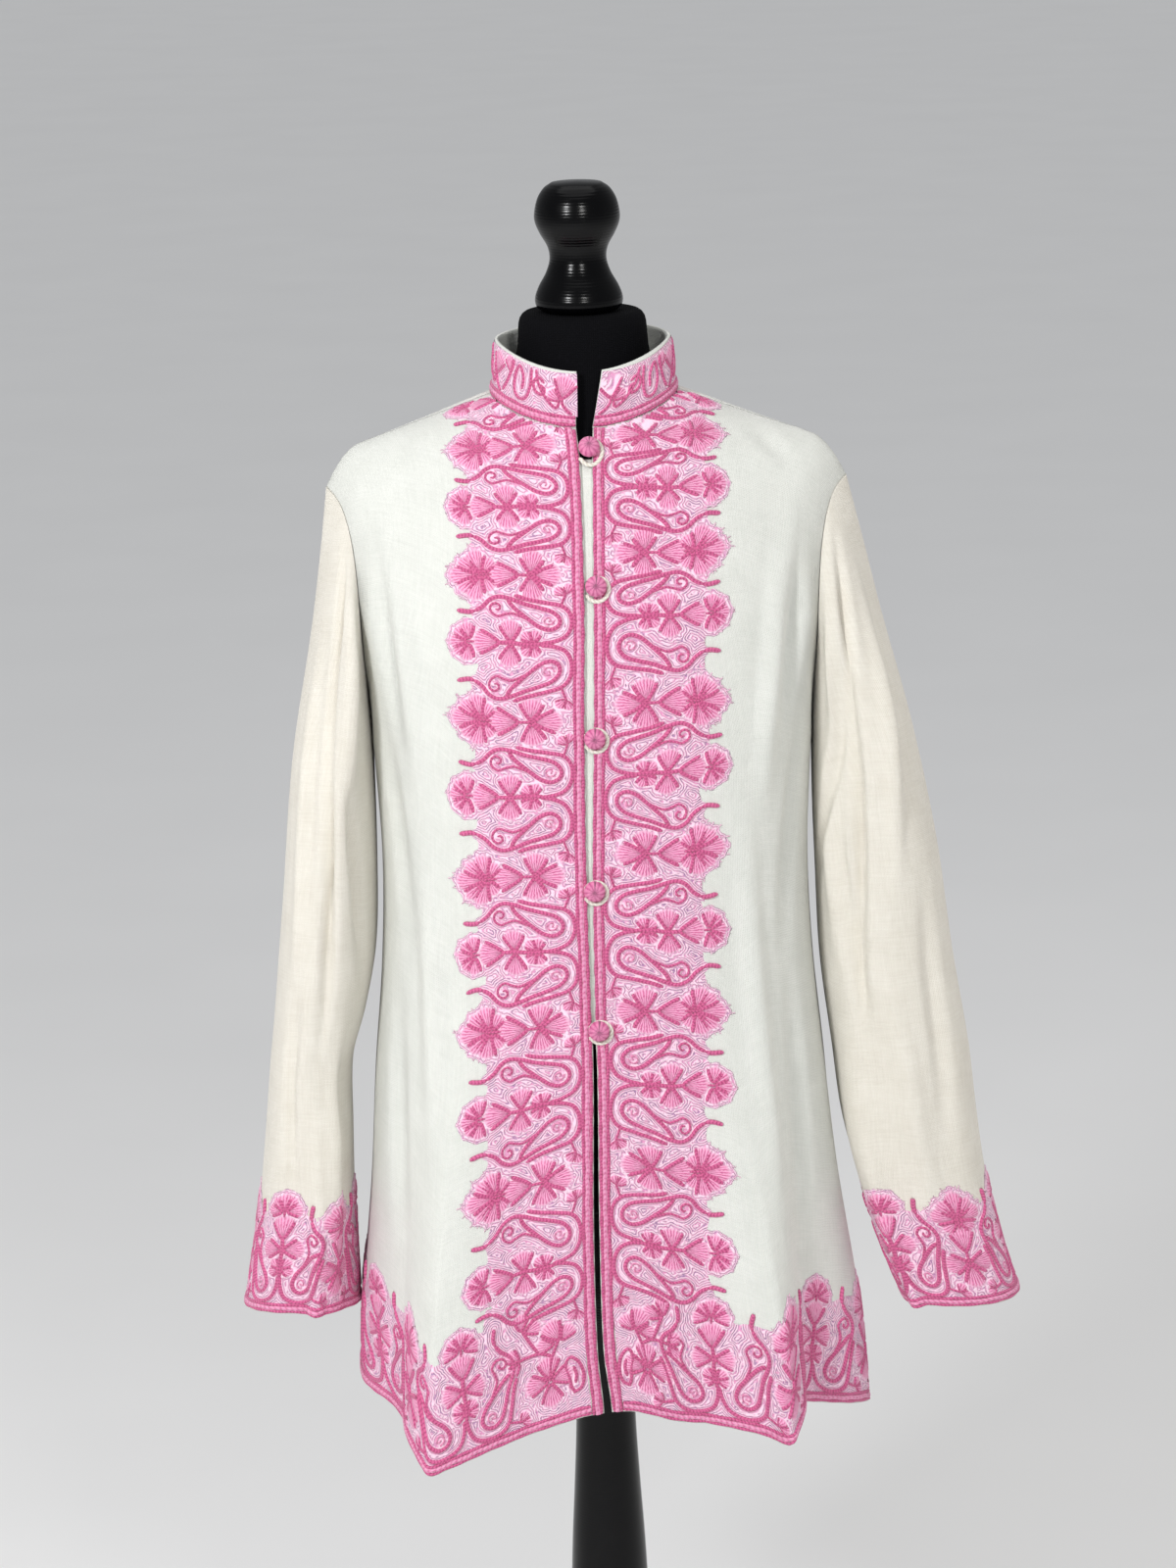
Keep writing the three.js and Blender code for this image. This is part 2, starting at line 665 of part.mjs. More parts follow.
// A cord loop round a button, open towards the wearer's right front, on which both its ends lie.
function loop(x, z) {
  const section = new THREE.Shape();
  section.absarc(0, 0, LOOP.cord / 2, 0, 2 * Math.PI);
  const place = (px, pz) =>
    frontFace(px, pz).addScaledVector(frontNormal(pz), LOOP.cord / 2 + SEAM);
  const arc = Array.from({ length: 9 }, (_, i) => {
    const angle = radians(mix(-LOOP.opening, LOOP.opening, i / 8));
    return [x + LOOP.radius * Math.cos(angle), z - LOOP.drop + LOOP.radius * Math.sin(angle)];
  });
  const start = [arc[0][0] - LOOP.tail, arc[0][1]];
  const end = [arc[8][0] - LOOP.tail, arc[8][1]];
  const path = new THREE.CatmullRomCurve3([start, ...arc, end].map(([px, pz]) => place(px, pz)));
  return new THREE.ExtrudeGeometry(section, { steps: 14, curveSegments: 3, extrudePath: path });
}

// The form's skin below the chest stays inside the cloth by the table's inset.
function formRing(angles, z, extra) {
  return angles.map((angle) => {
    const radius = plainRadius(angle, z) - formInset(z) - extra;
    return new THREE.Vector3(
      radius * Math.sin(radians(angle)),
      -radius * Math.cos(radians(angle)),
      z,
    );
  });
}

// The padded torso and its neck: rings up to the chest, the jacket's own shape drawn in above it, and
// round rings for the neck. Front and back columns meet on the shoulder line, where they are merged.
function torso() {
  const columns = topColumns(0);
  const before = columns.slice(0, -1).map((x) => columnAngle(x, false));
  const half = [...before, ...columns.map((x) => columnAngle(x, true)).reverse()];
  const angles = [...half, ...half.slice(1, -1).map((angle) => -angle).reverse()];
  const levels = [716, 745, 790, 840, 890, 945, 1000];
  const lower = [
    formRing(angles, FORM_BOTTOM, 12),
    formRing(angles, FORM_BOTTOM + 5, 3),
    ...levels.map((z) => formRing(angles, z, 0)),
  ];
  const face = Array.from({ length: UPPER_ROWS + 1 }, (_, i) =>
    angles.map((angle) => upperPoint(angle, i / UPPER_ROWS)),
  );
  const normals = outward(face, true);
  const upper = face.map((row, j) =>
    row.map((point, i) => {
      const share = j / UPPER_ROWS;
      const seam = ease((Math.abs(point.x) - NECK.half) / 30) * ease((share - 0.35) / 0.65);
      const tip = ease((Math.abs(point.x) - 135) / 40);
      const inset = mix(FORM_NECK_INSET, FORM_SHOULDER_INSET + FORM_TIP_ROOM * tip, seam);
      if (share < 1) return point.clone().addScaledVector(normals[j][i], -inset);
      if (Math.abs(point.x) > NECK.half + 1e-6) {
        return new THREE.Vector3(point.x, point.y, point.z - inset);
      }
      const shrink = 1 - FORM_NECK_INSET / NECK.half;
      return new THREE.Vector3(point.x * shrink, point.y * shrink, point.z - 4);
    }),
  );
  const rows = [...lower, ...upper];
  const count = angles.length;
  const points = rows.flat();
  const faces = [];
  gridFaces(faces, (j, i) => j * count + i, rows.length, count, true, false);
  const foot = points.push(new THREE.Vector3(0, 0, FORM_BOTTOM)) - 1;
  for (let i = 0; i < count; i += 1) faces.push(foot, (i + 1) % count, i);
  const neckline = angles
    .map((_, i) => i)
    .filter((i) => Math.abs(face[UPPER_ROWS][i].x) <= NECK.half + 1e-6);
  const top = (rows.length - 1) * count;
  const around = neckline.length;
  const first = points.length;
  for (const { z, radius } of NECK_RINGS) {
    for (const i of neckline) {
      const at = points[top + i];
      const angle = Math.atan2(at.x, -at.y);
      points.push(new THREE.Vector3(radius * Math.sin(angle), -radius * Math.cos(angle), z));
    }
  }
  const number = (j, i) => (j === 0 ? top + neckline[i] : first + (j - 1) * around + i);
  gridFaces(faces, number, NECK_RINGS.length + 1, around, true, false);
  const crown = points.push(new THREE.Vector3(0, 0, NECK_RINGS.at(-1).z)) - 1;
  for (let i = 0; i < around; i += 1) {
    faces.push(crown, number(NECK_RINGS.length, i), number(NECK_RINGS.length, (i + 1) % around));
  }
  const made = geometryOf(points, faces);
  made.deleteAttribute("normal");
  const merged = mergeVertices(made, 1e-3);
  merged.computeVertexNormals();
  return merged;
}

// A turned piece from its profile of radius and height
function turned(profile, segments) {
  const made = new THREE.LatheGeometry(
    profile.map(([radius, z]) => new THREE.Vector2(radius, z)),
    segments,
  );
  return made.rotateX(Math.PI / 2);
}

const jacket = new THREE.Group();
jacket.position.x = JACKET_X;
jacket.add(
  mesh("front_left", front(1), WOOL),
  mesh("front_right", front(-1), WOOL),
  mesh("back", back(), WOOL),
  mesh("sleeve_left", sleeve(1, SLEEVE_LEFT, SLEEVE_FOLDS_LEFT, CUFF_LEFT), WOOL),
  mesh("sleeve_right", sleeve(-1, SLEEVE_RIGHT, SLEEVE_FOLDS_RIGHT, CUFF_RIGHT), WOOL),
  mesh("collar", collar(), PINK),
  mesh("underlap", underlap(), WOOL),
);
BUTTONS.forEach(({ x, z }, i) => {
  jacket.add(mesh(`button_${i + 1}`, button(x, z), PINK));
  jacket.add(mesh(`loop_${i + 1}`, loop(x, z), WOOL));
});
jacket.add(mesh("form_torso", torso(), JERSEY));

const stand = new THREE.Group();
stand.position.x = STAND_X;
stand.add(
  mesh("neck_knob", turned(KNOB, 24), BLACK_WOOD),
  mesh("stand_column", turned(COLUMN, 24), BLACK_WOOD),
  mesh("stand_base", turned(BASE, 40), BLACK_WOOD),
);

const part = new THREE.Group();
part.add(jacket, stand);
export default part;
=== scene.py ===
"""A cream woollen jacket with borders of pink chain stitch, on a limbless dress form.

Lengths are worked out in millimetres and go into the meshes in metres. The front looks towards -Y,
and left and right are the wearer's.
"""

from __future__ import annotations

import logging
import math
from dataclasses import dataclass, field
from enum import Enum

import bmesh
import bpy
import numpy as np
from mathutils import Matrix, Vector

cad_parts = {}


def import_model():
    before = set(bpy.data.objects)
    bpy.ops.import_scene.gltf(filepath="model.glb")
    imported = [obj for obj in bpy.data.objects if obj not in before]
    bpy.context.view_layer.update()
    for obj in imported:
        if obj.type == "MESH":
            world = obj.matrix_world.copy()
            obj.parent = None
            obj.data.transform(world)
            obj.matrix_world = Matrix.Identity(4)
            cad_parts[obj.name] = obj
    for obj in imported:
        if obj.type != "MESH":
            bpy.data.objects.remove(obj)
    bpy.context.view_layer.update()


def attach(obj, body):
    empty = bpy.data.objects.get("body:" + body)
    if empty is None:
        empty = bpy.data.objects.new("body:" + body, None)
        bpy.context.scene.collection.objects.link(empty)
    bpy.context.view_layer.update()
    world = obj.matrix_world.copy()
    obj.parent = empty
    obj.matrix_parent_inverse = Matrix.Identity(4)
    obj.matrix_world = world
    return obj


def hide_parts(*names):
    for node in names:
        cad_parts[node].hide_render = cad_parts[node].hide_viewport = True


log = logging.getLogger("jacket")

Array = np.ndarray
Pair = tuple[float, float]
Colour = tuple[float, float, float]
Stretch = tuple[float, float, float, float]
Material = bpy.types.Material
Object = bpy.types.Object
METRES = 0.001
JACKET_X = 3.0
STAND_X = 1.0
CLOTH = 2.0
SEAM = 0.4


# Small pieces of mathematics


def ease(t: Array) -> Array:
    """0 below 0, 1 above 1, and a smooth rise between."""
    held = np.clip(t, 0, 1)
    return held * held * (3 - 2 * held)


def ridge(distance: Array, half: float) -> Array:
    """A soft ridge of height 1 with no step at its foot: the squared cosine out to the half width."""
    return np.where(np.abs(distance) < half, np.cos(distance / half * np.pi / 2) ** 2, 0)


def wrapped(angle: Array) -> Array:
    """Degrees from -180 to 180."""
    return (angle + 180) % 360 - 180


def mix(a: Array, b: Array, t: Array) -> Array:
    """a where t is 0 and b where t is 1."""
    return a + (b - a) * t


def unit(vectors: Array) -> Array:
    """The vectors at length 1."""
    return vectors / np.maximum(np.linalg.norm(vectors, axis=-1, keepdims=True), 1e-9)


def along(points: Array, axis: int = 0) -> Array:
    """Length of each line of points up to each of them."""
    steps = np.linalg.norm(np.diff(points, axis=axis), axis=-1)
    start = np.zeros_like(steps.take([0], axis))
    return np.concatenate([start, np.cumsum(steps, axis)], axis)


def respaced(points: Array, step: float) -> Array:
    """The same line with points a step apart, at least three of them."""
    length = along(points)
    count = max(int(round(length[-1] / step)), 2) + 1
    places = np.linspace(0, length[-1], count)
    return np.stack([np.interp(places, length, points[:, i]) for i in range(points.shape[1])], 1)


def spline(corners: tuple[Pair, ...], step: float) -> Array:
    """A smooth line through the corners, each piece a cubic whose slopes are those between neighbours.

    Args:
        corners: the points that it passes through.
        step: how far apart its points come to lie.

    Returns:
        The points of the line.
    """
    p = np.asarray(corners, float)
    ends = np.concatenate([[2 * p[0] - p[1]], p, [2 * p[-1] - p[-2]]])
    a, b, c, d = ends[:-3, None], ends[1:-2, None], ends[2:-1, None], ends[3:, None]
    t = np.linspace(0, 1, 16, endpoint=False)[None, :, None]
    curve = b + t * ((c - a) / 2 + t * ((2 * a - 5 * b + 4 * c - d) / 2 + t * (3 * b - a - 3 * c + d) / 2))
    return respaced(np.concatenate([curve.reshape(-1, p.shape[1]), p[-1:]]), step)


def outward(points: Array, closed: bool) -> Array:
    """Outward directions of a grid whose rows go round and whose columns rise: round crossed with up."""
    if closed:
        round_way = np.roll(points, -1, 1) - np.roll(points, 1, 1)
    else:
        round_way = np.gradient(points, axis=1)
    return unit(np.cross(round_way, np.gradient(points, axis=0)))


@dataclass(frozen=True)
class Table:
    """Smooth curves through the rows of a table, whose first column is the place."""

    rows: tuple[tuple[float, ...], ...]

    def __call__(self, place: Array, column: int = 1) -> Array:
        """Value of a column at each place: cubic pieces whose slope at a row is that between its neighbours.

        Args:
            place: where to read it; beyond either end the end's own value holds.
            column: which column.

        Returns:
            An array in the shape of place.
        """
        table = np.array(self.rows, float)
        places, values = table[:, 0], table[:, column]
        rows = np.arange(len(places))
        before, after = np.maximum(rows - 1, 0), np.minimum(rows + 1, len(places) - 1)
        slopes = (values[after] - values[before]) / (places[after] - places[before])
        at = np.clip(place, places[0], places[-1])
        i = np.clip(np.searchsorted(places, at, side="right") - 1, 0, len(places) - 2)
        span = places[i + 1] - places[i]
        t = (at - places[i]) / span
        rise = t * t * (3 - 2 * t)
        bends = slopes[i] * span * t * (1 - t) ** 2 - slopes[i + 1] * span * t * t * (1 - t)
        return values[i] * (1 - rise) + values[i + 1] * rise + bends


# Meshes


def grid_faces(index: Array, closed: bool = False, turned: bool = False) -> Array:
    """Squares between the points of a grid, given each point's number.

    Args:
        index: point numbers, rows by columns.
        closed: whether each row closes on itself.
        turned: whether the squares face the other way.

    Returns:
        Four point numbers a square.
    """
    if closed:
        index = np.concatenate([index, index[:, :1]], 1)
    corners = index[:-1, :-1], index[:-1, 1:], index[1:, 1:], index[1:, :-1]
    squares = np.stack(corners, -1).reshape(-1, 4)
    return squares[:, ::-1] if turned else squares


def capped_faces(index: Array, turned: bool = False) -> Array:
    """Squares of a closed grid and of the fans to the two end points, which are numbered after it."""
    low = np.full(index.shape[1], index.size)
    rings = index, np.stack([low, index[0]]), np.stack([index[-1], low + 1])
    return np.concatenate([grid_faces(ring, True, turned) for ring in rings])


@dataclass
class Surface:
    """Points, squares, and what the material reads at each point."""

    points: Array
    squares: Array
    uv: Array
    values: dict[str, Array] = field(default_factory=dict)

    @staticmethod
    def joined(parts: list[Surface]) -> Surface:
        """All the parts as one surface.

        Args:
            parts: surfaces that store the same values.

        Returns:
            The one surface.
        """
        starts = np.cumsum([0] + [len(part.points) for part in parts[:-1]])
        names = parts[0].values
        return Surface(
            np.concatenate([part.points for part in parts]),
            np.concatenate([part.squares + start for part, start in zip(parts, starts)]),
            np.concatenate([part.uv for part in parts]),
            {name: np.concatenate([part.values[name] for part in parts]) for name in names},
        )

    def triangles(self) -> int:
        """Number of triangles, a square with a doubled corner counting as one."""
        doubled = (self.squares == np.roll(self.squares, 1, 1)).any(1)
        return int(2 * len(self.squares) - doubled.sum())

    def to_object(self, name: str, material: Material) -> Object:
        """Makes the surface an object in metres, with its place in its mesh.

        Args:
            name: the object's name.
            material: its finish.

        Returns:
            The new object, riding on the root body.
        """
        mesh = bpy.data.meshes.new(name)
        doubled = self.squares == np.roll(self.squares, -1, 1)
        kept = ~doubled
        sizes = kept.sum(1)
        corners = self.squares[kept]
        mesh.vertices.add(len(self.points))
        mesh.vertices.foreach_set("co", (self.points * METRES).astype(np.float32).ravel())
        mesh.loops.add(len(corners))
        mesh.loops.foreach_set("vertex_index", corners.astype(np.int32))
        mesh.polygons.add(len(sizes))
        starts = np.concatenate([[0], np.cumsum(sizes)[:-1]])
        mesh.polygons.foreach_set("loop_start", starts.astype(np.int32))
        mesh.polygons.foreach_set("use_smooth", np.ones(len(sizes), bool))
        mesh.update(calc_edges=True)
        layer = mesh.uv_layers.new(name="UVMap")
        layer.data.foreach_set("uv", self.uv[corners].astype(np.float32).ravel())
        for key, value in self.values.items():
            attribute = mesh.attributes.new(key, "FLOAT", "POINT")
            attribute.data.foreach_set("value", value.astype(np.float32))
        mesh.materials.append(material)
        made = bpy.data.objects.new(name, mesh)
        bpy.context.scene.collection.objects.link(made)
        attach(made, "root")
        log.info("%s: %d triangles", name, self.triangles())
        return made


def sheet_uv(points: Array) -> Array:
    """Distances in metres across and up a grid of points, for the weave."""
    u = along(points, 1)
    return np.stack([u - u.mean(1, keepdims=True), along(points)], -1) * METRES


def wall(points: Array, directions: Array, thick: float, closed: bool) -> Surface:
    """A closed wall of cloth: its outer face is the grid, its inner one lies behind it by the thickness.

    Args:
        points: the outer face, rows by columns.
        directions: outward directions at the points.
        thick: the wall's thickness.
        closed: whether the rows close on themselves, as a tube's do.

    Returns:
        The wall with its rims.
    """
    rows, columns = points.shape[:2]
    outer = np.arange(rows * columns).reshape(rows, columns)
    inner = outer + rows * columns
    faces = [
        grid_faces(outer, closed),
        grid_faces(inner, closed, True),
        grid_faces(np.stack([inner[0], outer[0]]), closed),
        grid_faces(np.stack([outer[-1], inner[-1]]), closed),
    ]
    if not closed:
        faces.append(grid_faces(np.stack([outer[:, 0], inner[:, 0]])))
        faces.append(grid_faces(np.stack([inner[:, -1], outer[:, -1]])))
    both = np.concatenate([points.reshape(-1, 3), (points - directions * thick).reshape(-1, 3)])
    uv = sheet_uv(points).reshape(-1, 2)
    return Surface(both, np.concatenate(faces), np.concatenate([uv, uv]))


def turned(profile: Array, segments: int, centre: Pair) -> Surface:
    """A turned piece: the profile of radius and height carried round an upright axis.

    Args:
        profile: radius and height from the underside up; both ends lie on the axis.
        segments: number of steps round.
        centre: the axis's place.

    Returns:
        A closed surface.
    """
    angle = np.linspace(0, 2 * np.pi, segments, endpoint=False)
    radius, height = profile[1:-1, 0, None], profile[1:-1, 1, None]
    x = centre[0] + radius * np.sin(angle)
    y = centre[1] - radius * np.cos(angle)
    z = np.broadcast_to(height, x.shape)
    body = np.stack([x, y, z], -1)
    poles = np.array([[*centre, profile[0, 1]], [*centre, profile[-1, 1]]])
    faces = capped_faces(np.arange(x.size).reshape(-1, segments))
    length = along(profile)[1:-1, None]
    uv = np.stack(np.broadcast_arrays(angle / (2 * np.pi), length * METRES), -1).reshape(-1, 2)
    ends = np.array([[0, 0], [0, length[-1, 0] * METRES]])
    points = np.concatenate([body.reshape(-1, 3), poles])
    return Surface(points, faces, np.concatenate([uv, ends]))


# Materials


def linear(red: float, green: float, blue: float) -> tuple[float, ...]:
    """A colour given from 0 to 255 as it is seen, in the linear values that a shader takes."""
    seen = np.array([red, green, blue]) / 255
    return (*np.where(seen <= 0.04045, seen / 12.92, ((seen + 0.055) / 1.055) ** 2.4).tolist(), 1.0)


class Value:
    """A number that varies over a surface. Sums on it become Math nodes."""

    def __init__(self, tree: Tree, socket: bpy.types.NodeSocket) -> None:
        """Wraps an output socket of the tree."""
        self.tree = tree
        self.socket = socket

    def math(self, operation: str, *others: Value | float, first: float | None = None) -> Value:
        """One Math node on this value; first puts a number before it."""
        terms = [self, *others] if first is None else [first, self]
        inputs = dict(enumerate(terms))
        return self.tree.node("ShaderNodeMath", {"operation": operation}, inputs)

    def __add__(self, other: Value | float) -> Value:
        """The sum."""
        return self.math("ADD", other)

    __radd__ = __add__

    def __sub__(self, other: Value | float) -> Value:
        """The difference."""
        return self.math("SUBTRACT", other)

    def __rsub__(self, other: float) -> Value:
        """A number less this value."""
        return self.math("SUBTRACT", first=other)

    def __mul__(self, other: Value | float) -> Value:
        """The product."""
        return self.math("MULTIPLY", other)

    __rmul__ = __mul__

    def __truediv__(self, other: Value | float) -> Value:
        """The quotient."""
        return self.math("DIVIDE", other)

    def __abs__(self) -> Value:
        """The value without its sign."""
        return self.math("ABSOLUTE")

    def sine(self) -> Value:
        """The sine, in radians."""
        return self.math("SINE")

    def fraction(self) -> Value:
        """What is past the last whole number."""
        return self.math("FRACT")

    def between(self, low: float, high: float, start: float = 0.0, end: float = 1.0) -> Value:
        """Start at low and below, end at high and above, and a smooth step between them."""
        settings = {"interpolation_type": "SMOOTHSTEP"}
        inputs = {0: self, 1: low, 2: high, 3: start, 4: end}
        return self.tree.node("ShaderNodeMapRange", settings, inputs)


class Tree:
    """The nodes of one material."""

    def __init__(self, name: str) -> None:
        """Starts a material that holds its output alone."""
        self.material = bpy.data.materials.new(name)
        self.material.use_nodes = True
        self.nodes = self.material.node_tree.nodes
        self.nodes.clear()
        self.output = self.nodes.new("ShaderNodeOutputMaterial")

    def node(
        self,
        kind: str,
        settings: dict[str, object] | None = None,
        inputs: dict[int | str, object] | None = None,
        output: int | str = 0,
    ) -> Value:
        """Adds a node.

        Args:
            kind: Blender's name for it.
            settings: its properties, set before its sockets.
            inputs: a value or link for each of its sockets, by number or name.
            output: the output wanted.

        Returns:
            That output.
        """
        made = self.nodes.new(kind)
        for key, value in (settings or {}).items():
            setattr(made, key, value)
        for key, value in (inputs or {}).items():
            socket = made.inputs[key]
            if isinstance(value, Value):
                self.material.node_tree.links.new(value.socket, socket)
            else:
                socket.default_value = value
        return Value(self, made.outputs[output])

    def place(self) -> Value:
        """Object coordinates, in metres."""
        return self.node("ShaderNodeTexCoord", output="Object")

    def uv(self) -> tuple[Value, Value]:
        """The two numbers of the piece's own map."""
        both = self.node("ShaderNodeUVMap", {"uv_map": "UVMap"})
        split = self.node("ShaderNodeSeparateXYZ", inputs={0: both})
        return split, Value(self, split.socket.node.outputs[1])

    def attribute(self, name: str) -> Value:
        """A number stored at the mesh's points."""
        return self.node("ShaderNodeAttribute", {"attribute_name": name}, output="Fac")

    def noise(self, scale: float, detail: float = 2.0, roughness: float = 0.5) -> Value:
        """Soft noise from 0 to 1 over the object, so many waves a metre."""
        inputs = {"Vector": self.place(), "Scale": scale, "Detail": detail, "Roughness": roughness}
        return self.node("ShaderNodeTexNoise", inputs=inputs)

    def streaks(self, u: Value, v: Value, across: float, up: float) -> Value:
        """Noise drawn out along the threads: so many waves a metre across the cloth and up it."""
        place = self.node("ShaderNodeCombineXYZ", inputs={0: u * across, 1: v * up})
        return self.node("ShaderNodeTexNoise", inputs={"Vector": place, "Scale": 1.0, "Detail": 3.0})

    def blend(self, share: Value, low: Value | Colour, high: Colour) -> Value:
        """A colour between two, by a share."""
        start = low if isinstance(low, Value) else linear(*low)
        return self.node("ShaderNodeMix", {"data_type": "RGBA"}, {0: share, 6: start, 7: linear(*high)}, 2)

    def bump(self, height: Value, depth: float, under: Value | None = None) -> Value:
        """A normal that stands for a relief so many metres deep."""
        inputs: dict[int | str, object] = {"Height": height, "Distance": depth, "Strength": 1.0}
        if under is not None:
            inputs["Normal"] = under
        return self.node("ShaderNodeBump", inputs=inputs)

    def surface(
        self, colour: Value, rough: Value | float, normal: Value | None, specular: float, sheen: float = 0
    ) -> Material:
        """Ends the tree in one Principled shader.

        Args:
            colour: its base colour.
            rough: its roughness.
            normal: the normal of its relief, if it has one.
            specular: how much it reflects.
            sheen: how much its fibres catch the light.

        Returns:
            The finished material.
        """
        inputs: dict[int | str, object] = {"Base Color": colour, "Roughness": rough}
        inputs |= {"Specular IOR Level": specular, "Sheen Weight": sheen}
        if normal is not None:
            inputs["Normal"] = normal
        shader = self.node("ShaderNodeBsdfPrincipled", inputs=inputs)
        links = self.material.node_tree.links
        links.new(shader.socket, self.output.inputs["Surface"])
        return self.material


@dataclass(frozen=True)
class WoolFinish:
    """Cream woven wool: a fine plain weave under a soft nap, a little uneven in colour."""

    name: str = "cream_wool"
    light: Colour = (233, 234, 228)
    deep: Colour = (213, 215, 208)
    thread: float = 0.0013
    relief: float = 0.00016
    nap: float = 0.00022

    def material(self) -> Material:
        """Threads are sine waves across and up the cloth; the nap is noise over them.

        Returns:
            The finished material.
        """
        tree = Tree(self.name)
        u, v = tree.uv()
        wander = tree.noise(160, 1) * 1.6
        warp = (u * (2 * math.pi / self.thread) + wander).sine()
        weft = (v * (2 * math.pi / self.thread) + wander).sine()
        weave = warp * 0.3 + weft * 0.3 + warp * weft * 0.4
        slubs = tree.streaks(u, v, 520, 46) * 0.5 + tree.streaks(u, v, 40, 560) * 0.5
        cloud = tree.noise(38, 3, 0.55)
        # The weave's share of the tone darkens the dips between threads, painted shade; cloud and slubs are
        # the wool's own uneven colour.
        tone = cloud * 0.4 + slubs * 0.75 + weave * 0.12 - 0.08
        fuzz = tree.noise(1500, 3, 0.7)
        normal = tree.bump(fuzz, self.nap, tree.bump(weave, self.relief))
        colour = tree.blend(tone.between(0.1, 0.9), self.deep, self.light)
        return tree.surface(colour, 0.92, normal, 0.18, 0.22)


@dataclass(frozen=True)
class StitchFinish:
    """Chain stitch along a line: the map's first number runs along it and its second across it."""

    name: str
    light: Colour
    deep: Colour
    link: float = 0.0026
    relief: float = 0.0007

    def material(self) -> Material:
        """Each link is a V of two strands that meets the next, darker in the dips where the needle went in:
        painted shade.

        Returns:
            The finished material.
        """
        tree = Tree(self.name)
        u, v = tree.uv()
        side = abs(v - 0.5)
        links = abs(((u / self.link + side * 0.9) * math.pi).sine())
        strands = 1 - abs(side * 4 - 1)
        shape = links * 0.6 + strands * 0.4
        # tone: the links' and strands' relief darkens their dips, painted shade; the noise is the thread's
        # own uneven colour.
        tone = shape * 0.75 + tree.noise(420, 2) * 0.55 - 0.12
        twist = (u / 0.0009 * (2 * math.pi) + v * 5).sine()
        normal = tree.bump(shape + twist * 0.12, self.relief)
        colour = tree.blend(tone.between(0.15, 0.85), self.deep, self.light)
        return tree.surface(colour, 0.62, normal, 0.35, 0.25)


@dataclass(frozen=True)
class PetalFinish:
    """Petals filled with stitches that fan out from the flower's heart."""

    name: str = "petal_thread"
    light: Colour = (247, 172, 208)
    deep: Colour = (222, 98, 154)
    tip: Colour = (246, 194, 220)
    threads: float = 4.5

    def material(self) -> Material:
        """The map's first number goes across the fan, from its middle, and its second out from the heart.

        Returns:
            The finished material.
        """
        tree = Tree(self.name)
        u, v = tree.uv()
        fine = tree.noise(520, 2)
        strands = abs(((u * self.threads + fine * 0.8) * math.pi).sine())
        rings = abs(((v * 3.1 + abs(u) * 0.5) * math.pi).sine())
        # tone: the gaps between strands and rings are darker, painted shade; the fine noise is the thread's
        # own uneven colour.
        tone = strands * 0.62 + rings * 0.12 + fine * 0.35 - 0.05
        colour = tree.blend(tone.between(0.15, 0.9), self.deep, self.light)
        paled = tree.blend(v.between(0.82, 1.0), colour, self.tip)
        normal = tree.bump(strands + rings * 0.3, 0.0005)
        return tree.surface(paled, 0.6, normal, 0.35, 0.25)


@dataclass(frozen=True)
class GroundFinish:
    """The worked ground: pale rows of stitches that echo the drawn lines, with lilac-grey gaps of painted
    shadow.
    """

    name: str = "ground_thread"
    rim: Colour = (253, 218, 236)
    row: Colour = (228, 146, 190)
    # gap: the colour of the painted shadow between the rows.
    gap: Colour = (158, 118, 162)
    pitch: float = 1.7

    def material(self) -> Material:
        """Rows are whole steps of the stored distance from the lines; the painted shadow in the gaps between
        them comes and goes.

        Returns:
            The finished material.
        """
        tree = Tree(self.name)
        echo = tree.attribute("echo")
        wave = tree.noise(170, 2) * 1.3
        place = (echo / self.pitch + wave).fraction()
        middle = 1 - abs(place * 2 - 1)
        broken = tree.noise(240, 2).between(0.42, 0.6)
        # Painted shadow in the gaps between rows, where the noise opens them.
        painted_gap_shadow = (1 - middle.between(0.1, 0.5)) * broken
        # Next to the lines the painted gap shadow is mostly left out, so the first row stands lighter: a
        # painted highlight beside the lines.
        first = 1 - echo.between(0.2, 1.1)
        # Rows are pale in the middle and pinker at their edges: partly the threads' colour, partly a painted
        # highlight on their crests and painted shade at their edges.
        colour = tree.blend(middle.between(0.1, 0.75), self.row, self.rim)
        worked = tree.blend(painted_gap_shadow * (1 - first * 0.75), colour, self.gap)
        stitches = tree.noise(620, 2)
        shaded = tree.blend(stitches.between(0.25, 0.8) * 0.35, worked, self.rim)
        normal = tree.bump(middle.between(0.0, 0.9) + stitches * 0.35, 0.0007)
        return tree.surface(shaded, 0.68, normal, 0.3, 0.25)


@dataclass(frozen=True)
class CordFinish:
    """Cream wool cord of two plies."""

    name: str = "cream_cord"
    light: Colour = (240, 237, 226)
    deep: Colour = (214, 209, 194)

    def material(self) -> Material:
        """The plies are a sine wave that climbs round the cord.

        Returns:
            The finished material.
        """
        tree = Tree(self.name)
        u, v = tree.uv()
        plies = ((u / 0.0034 + v * 2) * (2 * math.pi)).sine() * 0.5 + 0.5
        # tone: the grooves between the plies are darker, painted shade; the noise is the wool's own uneven
        # colour.
        tone = plies * 0.6 + tree.noise(700, 2) * 0.5
        colour = tree.blend(tone.between(0.1, 0.9), self.deep, self.light)
        normal = tree.bump(plies, 0.0003)
        return tree.surface(colour, 0.85, normal, 0.5, 0.2)


